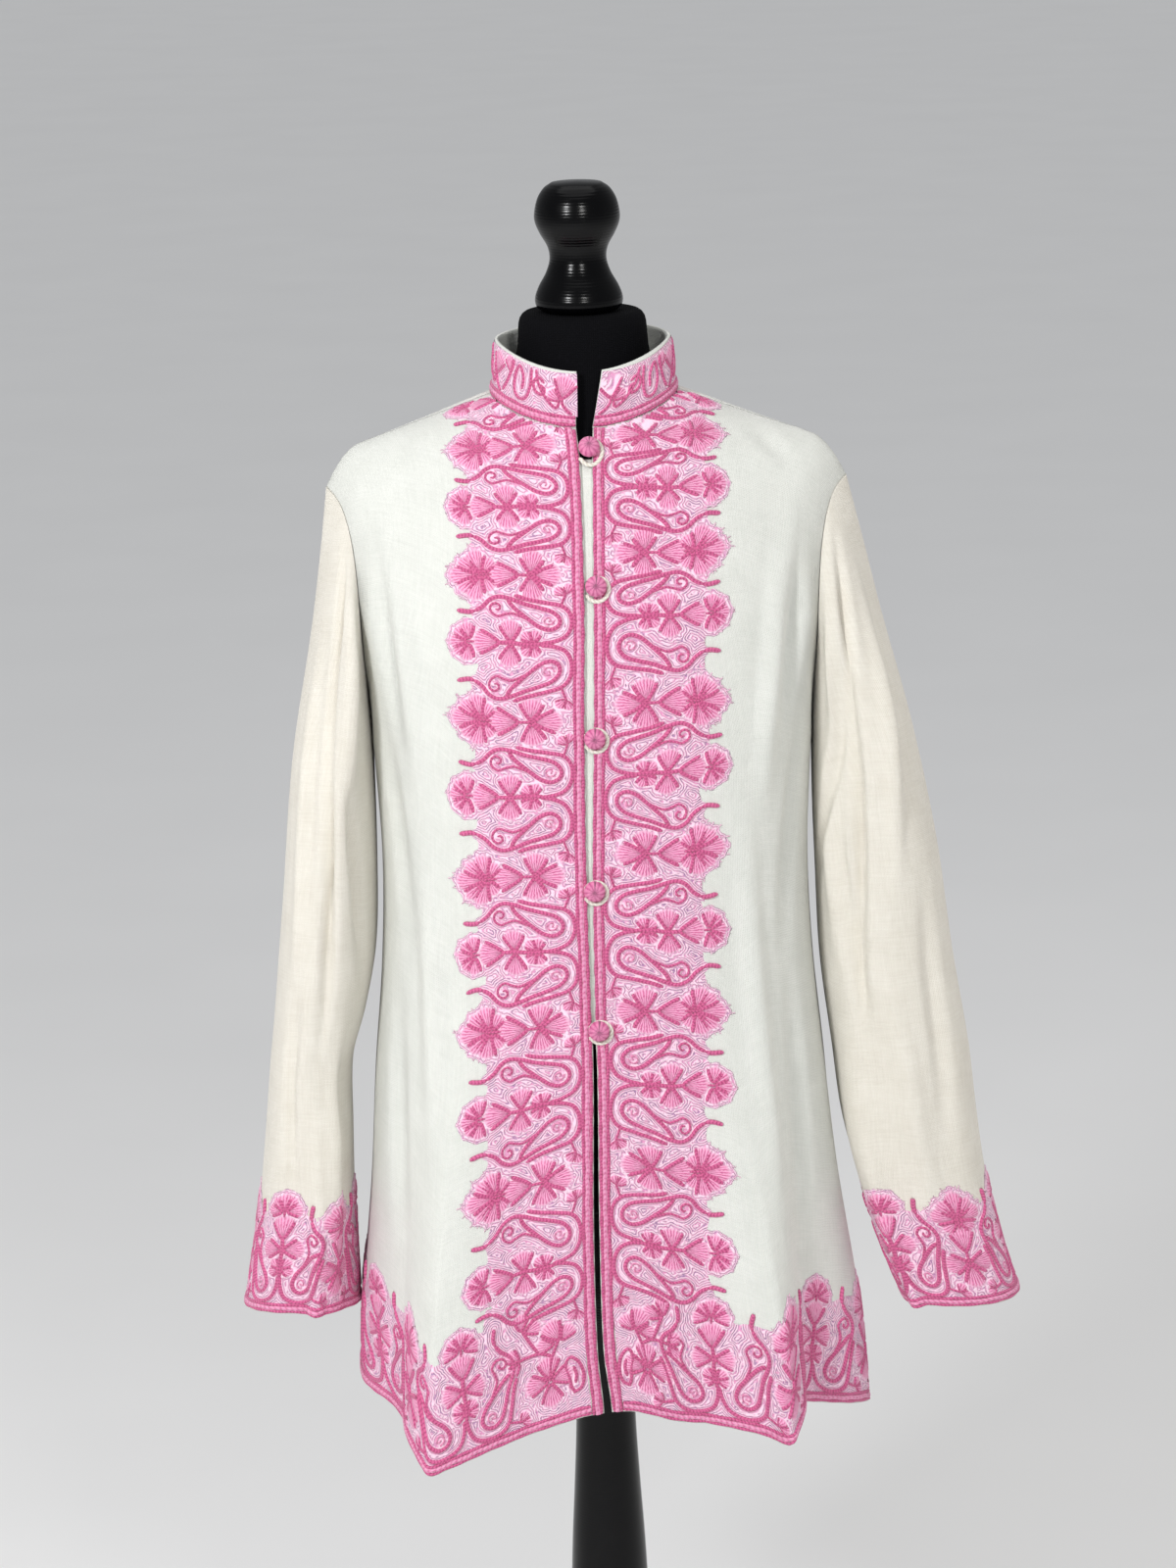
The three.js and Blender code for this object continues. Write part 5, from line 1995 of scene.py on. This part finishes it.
@dataclass
class Jacket:
    """The woollen jacket with its borders, buttons and loops."""

    finishes: Finishes
    shape: BodyShape = field(default_factory=BodyShape)
    design: BorderDesign = field(default_factory=BorderDesign)
    border_out: float = 8.6
    edge_from: float = 101
    edge_out: float = 106
    hem_out: float = 108
    repeat: float = 62
    front_net: Pair = (310, 806)
    back_net: Pair = (600, 120)
    cuff_turns: Pair = (-0.06, -0.08)
    cuff_round: float = 288
    underlap_sides: Pair = (-17, 19)
    underlap_ends: Pair = (845, 1261)
    underlap_thick: float = 1.6
    buttons: tuple[Pair, ...] = (
        (1266.6, 2.5), (1174.7, 5), (1068.1, 1.5), (956, -1.2), (851.5, -0.4),
    )
    ball_radius: float = 7.6
    ball_flat: float = 0.75
    loop_radius: float = 8.1
    loop_open: float = 150
    loop_aside: Pair = (1.1, -2.4)
    loop_tail: float = 1.5
    cord_radius: float = 1.5
    left_sprays: tuple[float, ...] = (
        76, 138, 200, 264, 320, 382, 440, 502, 554, 614, 660, 708, 748, 792,
    )
    right_sprays: tuple[float, ...] = (
        70, 130, 196, 256, 316, 374, 432, 490, 546, 604, 652, 700, 748, 796,
    )

    def moved(self, panel: Panel) -> Panel:
        """The panel in the frame of the whole part."""
        return Panel(panel.points + [JACKET_X, 0, 0], panel.directions, panel.closed)

    def cloth(self, name: str, panel: Panel, thick: float, nodes: tuple[str, ...]) -> Object:
        """A piece of cloth that takes the place of its solid.

        Args:
            name: its name.
            panel: its shape.
            thick: its thickness.
            nodes: the solids it replaces.

        Returns:
            Its object.
        """
        # Sleeves take the copy of the wool whose warmer tint is painted warm side light.
        finish = self.finishes.sleeve_wool if panel.closed else self.finishes.wool
        made = wall(panel.points, panel.directions, thick, panel.closed).to_object(name, finish)
        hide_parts(*nodes)
        return made

    def front_border(self, side: Side, chart: Chart) -> list[Object]:
        """The borders of a front: up its edge and along its hem.

        Args:
            side: which front.
            chart: its places.

        Returns:
            The border's objects.
        """
        left = side is Side.LEFT
        work = Embroidery(chart, f"front_{side.word}_edge", False, seed=3 if left else 5)
        top = chart.points.shape[0] * chart.step
        motifs = self.design.stretch(self.left_sprays if left else self.right_sprays, 1, work.seed)
        ground = work.ground(motifs, (self.edge_from, top, self.border_out, self.edge_out), 80)
        motifs.strokes += braid(0, top)
        pieces = work.work(motifs, ground, self.finishes)
        hem = Embroidery(chart, f"front_{side.word}_hem", True, seed=7 if left else 11, raised=0.45)
        width = chart.points.shape[1] * chart.step
        first = 22.0 if left else 45.0
        below = self.design.stretch(tuple(first + self.repeat * np.arange(6)), 1, hem.seed)
        below.merge(self.design.corner_spray().copied(30 if left else 37, False, 0.8 if left else 1.0))
        sheet = hem.ground(below, (self.border_out, width, self.border_out, self.hem_out), 84, 92)
        below.strokes += braid(9, width)
        return pieces + hem.work(below, sheet, self.finishes)

    def build_fronts(self) -> None:
        """The two fronts with their borders."""
        cutter = BodyCutter(self.shape)
        for side in Side:
            panel = self.moved(cutter.front(side))
            made = self.cloth(f"wool_front_{side.word}", panel, CLOTH, (f"front_{side.word}",))
            heights = panel.heights(cutter.lower_rows)
            chart = Chart.over(panel, heights, self.front_net, side is Side.RIGHT)
            work = self.front_border(side, chart)

    def build_back(self) -> None:
        """The back with its hem border."""
        cutter = BodyCutter(self.shape)
        panel = self.moved(cutter.back())
        made = self.cloth("wool_back", panel, CLOTH, ("back",))
        chart = Chart.over(panel, panel.heights(cutter.lower_rows), self.back_net, False)
        hem = Embroidery(chart, "back_hem", True, seed=13)
        width = chart.points.shape[1] * chart.step
        motifs = self.design.stretch(tuple(-22 + self.repeat * np.arange(12)), 0, hem.seed)
        sheet = hem.ground(motifs, (0, width, self.border_out, self.hem_out), 84)
        motifs.strokes += braid(0, width)
        work = hem.work(motifs, sheet, self.finishes)

    def build_sleeves(self) -> None:
        """The two sleeves with their cuffs."""
        for shape, seed, turn in zip((left_sleeve(), right_sleeve()), (17, 19), self.cuff_turns):
            word = shape.side.word
            panel = self.moved(shape.panel(self.shape))
            made = self.cloth(f"wool_sleeve_{word}", panel, CLOTH, (f"sleeve_{word}",))
            length = self.cuff_round
            chart = Chart.over(panel, panel.heights(), (length, 120), False, length)
            cuff = Embroidery(chart, f"cuff_{word}", True, seed=seed, around=length)
            centres = tuple(length / 6 * (np.arange(7) + turn))
            motifs = self.design.stretch(centres, 1, cuff.seed, shape.side is Side.LEFT)
            sheet = cuff.ground(motifs, (0, length, self.border_out, self.edge_out), 82)
            motifs.strokes += braid(0, length)
            work = cuff.work(motifs, sheet, self.finishes)

    def build_collar(self) -> None:
        """The stand collar with its embroidery."""
        panel = self.moved(CollarShape(self.shape).panel())
        made = self.cloth("wool_collar", panel, CLOTH, ("collar",))
        length = float(along(panel.points[0])[-1])
        chart = Chart.over(panel, panel.heights(), (length, 42), False, length)
        work = Embroidery(chart, "collar", True, seed=23, wave=0.6)
        motifs = CollarDesign().stretch(length, work.seed)
        sheet = work.ground(motifs, (0.6, length - 0.6, 8, 38.6), 60)
        motifs.strokes += braid(0.6, length - 0.6)
        pieces = work.work(motifs, sheet, self.finishes)

    def build_underlap(self) -> None:
        """The cream strip behind the front edges."""
        z = np.linspace(*self.underlap_ends, 120)[:, None]
        x = np.linspace(*self.underlap_sides, 13)[None, :]
        normal = self.shape.front_normal(z[:, 0])[:, None]
        across, up = np.broadcast_arrays(x, z)
        face = self.shape.front_face(across, up) - normal * (CLOTH + SEAM)
        panel = self.moved(Panel(face, outward(face, False)))
        made = self.cloth("wool_underlap", panel, self.underlap_thick, ("underlap",))

    def build_buttons(self) -> None:
        """Five covered ball buttons and their cord loops."""
        cover = StitchFinish("button_cover", (240, 142, 186), (198, 76, 136), 0.004, 0.0009).material()
        for number, (z, x) in enumerate(self.buttons, 1):
            ball = self.ball(x, z).to_object(f"covered_button_{number}", cover)
            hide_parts(f"button_{number}")
            cord = self.loop(x, z).to_object(f"cord_loop_{number}", self.finishes.cord)
            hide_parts(f"loop_{number}")

    def ball(self, x: float, z: float) -> Surface:
        """A covered button: a sphere a little flattened towards the cloth, gathered in soft pleats.

        Args:
            x: how far across it is sewn on.
            z: how high.

        Returns:
            Its surface, with the poles closed.
        """
        radius, flat = self.ball_radius, self.ball_flat
        normal = self.shape.front_normal(np.array([z]))[0]
        centre = self.shape.front_face(np.array([x]), np.array([z]))[0] + normal * (radius * flat + SEAM)
        height = np.sin(np.linspace(-np.pi / 2, np.pi / 2, 19))
        profile = np.stack([np.sqrt(np.clip(1 - height**2, 0, 1)) * radius, height * radius * flat], -1)
        made = turned(profile, 36, (0.0, 0.0))
        side = unit(np.cross(normal, [0, 0, 1]))
        axes = np.stack([side, np.cross(normal, side), normal])
        turn = np.arctan2(made.points[:, 0], made.points[:, 1])
        wide = np.hypot(made.points[:, 0], made.points[:, 1]) / radius
        pleats = 1 + 0.012 * np.cos(turn * 12) * wide
        made.points = made.points * pleats[:, None] @ axes + centre + [JACKET_X, 0, 0]
        made.uv = np.stack([np.degrees(turn) * 0.00012, 0.5 + 0.5 * wide], -1)
        return made

    def loop(self, x: float, z: float) -> Surface:
        """A cord loop round a button: a ring of cord carried along an arc with two short tails.

        Args:
            x: how far across its button's place is.
            z: how high.

        Returns:
            Its surface, with the ends closed.
        """
        angle = np.radians(np.linspace(-self.loop_open, self.loop_open, 49))
        px = np.concatenate([[0], self.loop_radius * np.cos(angle), [0]]) + self.loop_aside[0]
        pz = np.concatenate([[0], self.loop_radius * np.sin(angle), [0]]) + self.loop_aside[1]
        px[[0, -1]], pz[[0, -1]] = px[[1, -2]] - self.loop_tail, pz[[1, -2]]
        line = respaced(np.stack([x + px, z + pz], -1), 1.0)
        normal = self.shape.front_normal(line[:, 1])
        centre = self.shape.front_face(line[:, 0], line[:, 1]) + normal * (self.cord_radius + SEAM)
        way = unit(np.gradient(centre, axis=0))
        side = unit(np.cross(way, normal))
        lift = np.cross(side, way)
        sides = 12
        turn = np.linspace(0, 2 * np.pi, sides, endpoint=False)[:, None]
        ends = np.minimum(np.arange(len(line)), np.arange(len(line))[::-1])
        thick = self.cord_radius * np.minimum(1, 0.7 + 0.15 * ends)[:, None, None]
        ring = centre[:, None] + (side[:, None] * np.cos(turn) + lift[:, None] * np.sin(turn)) * thick
        index = np.arange(len(ring) * sides).reshape(-1, sides)
        length = np.broadcast_to((along(centre) * METRES)[:, None], index.shape)
        uv = np.stack([length, np.broadcast_to(turn[:, 0] / (2 * np.pi), index.shape)], -1).reshape(-1, 2)
        points = np.concatenate([ring.reshape(-1, 3), centre[[0, -1]]]) + [JACKET_X, 0, 0]
        return Surface(points, capped_faces(index, True), np.concatenate([uv, uv[[0, -1]]]))


@dataclass
class DressForm:
    """The limbless form: a padded torso in jersey, on a turned stand."""

    finishes: Finishes
    shape: BodyShape = field(default_factory=BodyShape)
    insets: Table = Table(((700, 16), (780, 15), (880, 25), (960, 18), (1045, 10)))
    underside: float = 700
    padding: float = 10
    neck: tuple[Pair, ...] = (
        (1311, 52), (1320, 49.4), (1330, 47.5), (1339, 46.9), (1347, 46.3), (1350.5, 45.4),
        (1353.2, 43.6), (1354.6, 41.6), (1355, 38),
    )
    knob: tuple[Pair, ...] = (
        (27, 1355.4), (31, 1359), (31.8, 1365), (29, 1373), (23.5, 1383), (20.6, 1393), (22, 1402),
        (27, 1411), (30.4, 1419), (30.9, 1426), (28.6, 1436), (24, 1443.5), (18.5, 1447.4),
    )
    column: tuple[Pair, ...] = (
        (62, 22.3), (64, 28), (58, 36), (46, 46), (42, 60), (45, 74), (43, 90), (37, 110), (34, 160),
        (32.5, 260), (29.2, 372), (25.5, 440), (23.2, 488), (21.5, 560), (20.5, 640), (20, 699.7),
    )
    base: tuple[Pair, ...] = ((166, 0), (170, 4), (170, 12), (166, 18), (158, 21), (70, 22))

    def build_stand(self) -> None:
        """The knob and the column, turned from smooth profiles, and the base from a straight one."""
        base = respaced(np.array(self.base, float), 3.0)
        for name, line, top in (
            ("neck_knob", spline(self.knob, 1.6), 1448.6),
            ("stand_column", spline(self.column, 4.0), 699.7),
            ("stand_base", np.concatenate([base[:1], base]), 22.0),
        ):
            profile = np.concatenate([[[0, line[0, 1]]], line, [[0, top]]])
            made = turned(profile, 96, (STAND_X, 0.0))
            piece = made.to_object(f"turned_{name}", self.finishes.lacquer)
            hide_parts(name)

    def trunk(self, angles: Array) -> Array:
        """Rings from the rounded underside to just below the chest.

        Args:
            angles: the columns' angles.

        Returns:
            The rings, from the lowest up.
        """
        rings = 24
        heights = np.concatenate([[self.underside, self.underside + 5], np.linspace(716, 1000, rings)])
        inset = self.insets(heights) + np.concatenate([[12, 3], np.zeros(rings)])
        radius = self.shape.radius(angles, heights[:, None]) - inset[:, None]
        turn = np.radians(angles)
        sides = radius * np.sin(turn), -radius * np.cos(turn), heights[:, None]
        return np.stack(np.broadcast_arrays(*sides), -1)

    def shoulders(self, angles: Array) -> tuple[Array, Array]:
        """The jacket's own shape above the chest, drawn in, and which columns end at a shoulder.

        Args:
            angles: the columns' angles at the chest.

        Returns:
            The rings, and whether each column ends on the seam.
        """
        shape = self.shape
        share = np.linspace(0, 1, 31)[:, None]
        face = shape.upper(angles, share)
        away = np.abs(face[..., 0])
        seam = ease((away - shape.neck_half) / 30) * ease((share - 0.35) / 0.65)
        inset = mix(self.padding, 2.7 + 4 * ease((away - 135) / 40), seam)
        skin = face - outward(face, True) * inset[..., None]
        on_seam = away[-1] > shape.neck_half + 1e-6
        smaller = 1 - self.padding / shape.neck_half
        neckline = face[-1] * [smaller, smaller, 1] - [0, 0, 4]
        lowered = face[-1] - inset[-1][:, None] * [0, 0, 1]
        skin[-1] = np.where(on_seam[:, None], lowered, neckline)
        return skin, on_seam

    def build_torso(self) -> None:
        """The trunk, the shoulders above it, and round rings for the neck."""
        columns = self.shape.top_columns(0.0, 18, 24)
        before = self.shape.column_angles(columns[:-1], False)
        half = np.concatenate([before, self.shape.column_angles(columns, True)[::-1]])
        angles = np.concatenate([half, -half[1:-1][::-1]])
        skin, on_seam = self.shoulders(angles)
        body = np.concatenate([self.trunk(angles), skin])
        index = np.arange(body[..., 0].size).reshape(-1, len(angles))
        around = np.flatnonzero(~on_seam)
        levels, wide = np.array(self.neck)[..., None].transpose(1, 0, 2)
        bearing = np.arctan2(body[-1, around, 0], -body[-1, around, 1])
        sides = wide * np.sin(bearing), -wide * np.cos(bearing), levels
        neck = np.stack(np.broadcast_arrays(*sides), -1)
        ring = index.size + np.arange(neck[..., 0].size).reshape(len(levels), -1)
        ring = np.concatenate([index[-1, around][None], ring])
        crown = ring.max() + 1
        ends = [[0, 0, levels[-1, 0]], [0, 0, self.underside]]
        points = np.concatenate([body.reshape(-1, 3), neck.reshape(-1, 3), ends])
        faces = [
            grid_faces(index, True),
            grid_faces(ring, True),
            grid_faces(np.stack([ring[-1], np.full(len(around), crown)]), True),
            grid_faces(np.stack([np.full(len(angles), crown + 1), index[0]]), True),
        ]
        uv = points[:, [0, 2]] * METRES
        made = Surface(points + [JACKET_X, 0, 0], np.concatenate(faces), uv)
        piece = made.to_object("jersey_torso", self.finishes.jersey)
        self.close_shoulders(piece)
        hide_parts("form_torso")

    def close_shoulders(self, piece: Object) -> None:
        """Merges the front's and the back's points along the shoulder line."""
        work = bmesh.new()
        work.from_mesh(piece.data)
        bmesh.ops.remove_doubles(work, verts=work.verts, dist=1e-5)
        work.to_mesh(piece.data)
        work.free()


@dataclass
class Studio:
    """A pale floor, soft lights and a camera at the photograph's viewing angle."""

    finishes: Finishes
    distance: float = 3.2
    look_at: float = 1.0
    down: float = 15.0
    lens: float = 98.6
    roll: float = 1.398
    aside: float = -0.00102

    def build_camera(self) -> None:
        """The camera looks down at the jacket, and is turned a little about its own axis."""
        data = bpy.data.cameras.new("camera")
        data.sensor_width = 36
        data.lens = self.lens
        camera = bpy.data.objects.new("camera", data)
        bpy.context.scene.collection.objects.link(camera)
        tilt = math.radians(self.down)
        back, up = self.distance * math.cos(tilt), self.distance * math.sin(tilt)
        place = Vector((self.aside, -back, self.look_at + up))
        way = Vector((self.aside, 0, self.look_at)) - place
        turn = way.to_track_quat("-Z", "Y").to_matrix() @ Matrix.Rotation(math.radians(-self.roll), 3, "Z")
        camera.location = place
        camera.rotation_euler = turn.to_euler()
        bpy.context.scene.camera = camera

    def build_lights(self) -> None:
        """Two lights before the jacket, weaker warm ones at its sides, and a soft sky above."""
        bpy.context.scene.view_settings.view_transform = "Standard"
        for name, place, size, power, colour in (
            ("key", (-1.5, -2.6, 2.55), 0.6, 62, (0.985, 0.99, 1.0)),
            ("second", (0.75, -2.9, 2.5), 0.6, 26, (1.0, 0.99, 0.97)),
            ("side", (2.6, 0.2, 1.9), 1.2, 13, (1.0, 0.94, 0.86)),
            ("other_side", (-2.6, 0.2, 1.9), 1.2, 12, (1.0, 0.95, 0.89)),
        ):
            data = bpy.data.lights.new(name, "AREA")
            data.shape = "DISK"
            data.size = size
            data.energy = power
            data.color = colour
            light = bpy.data.objects.new(name, data)
            bpy.context.scene.collection.objects.link(light)
            light.location = place
            light.visible_glossy = "side" not in name
            aim = Vector((0, 0, 1.0)) - Vector(place)
            light.rotation_euler = aim.to_track_quat("-Z", "Y").to_euler()
        sky = bpy.data.lights.new("sky", "SUN")
        sky.energy = 0.9
        sky.angle = math.radians(70)
        bpy.context.scene.collection.objects.link(bpy.data.objects.new("sky", sky))
        world = bpy.data.worlds.new("world")
        world.use_nodes = True
        background = world.node_tree.nodes["Background"]
        background.inputs["Color"].default_value = (0.88, 0.90, 0.93, 1)
        background.inputs["Strength"].default_value = 0.3
        bpy.context.scene.world = world

    def build_floor(self) -> None:
        """A wide square under the base."""
        corner = 30000.0
        x, y = np.meshgrid(np.linspace(-corner, corner, 9), np.linspace(-corner, corner, 9))
        points = np.stack([x, y, 0 * x], -1).reshape(-1, 3)
        faces = grid_faces(np.arange(81).reshape(9, 9))
        floor = Surface(points, faces, points[:, :2] * METRES).to_object("floor", self.finishes.floor)


def main() -> None:
    """Builds the jacket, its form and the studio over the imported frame."""
    logging.basicConfig(level=logging.INFO, format="%(message)s")
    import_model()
    finishes = Finishes()
    studio = Studio(finishes)
    studio.build_camera()
    jacket = Jacket(finishes)
    jacket.build_fronts()
    jacket.build_back()
    jacket.build_sleeves()
    jacket.build_collar()
    jacket.build_underlap()
    jacket.build_buttons()
    form = DressForm(finishes)
    form.build_torso()
    form.build_stand()
    studio.build_lights()
    studio.build_floor()


if __name__ == "__main__":
    main()
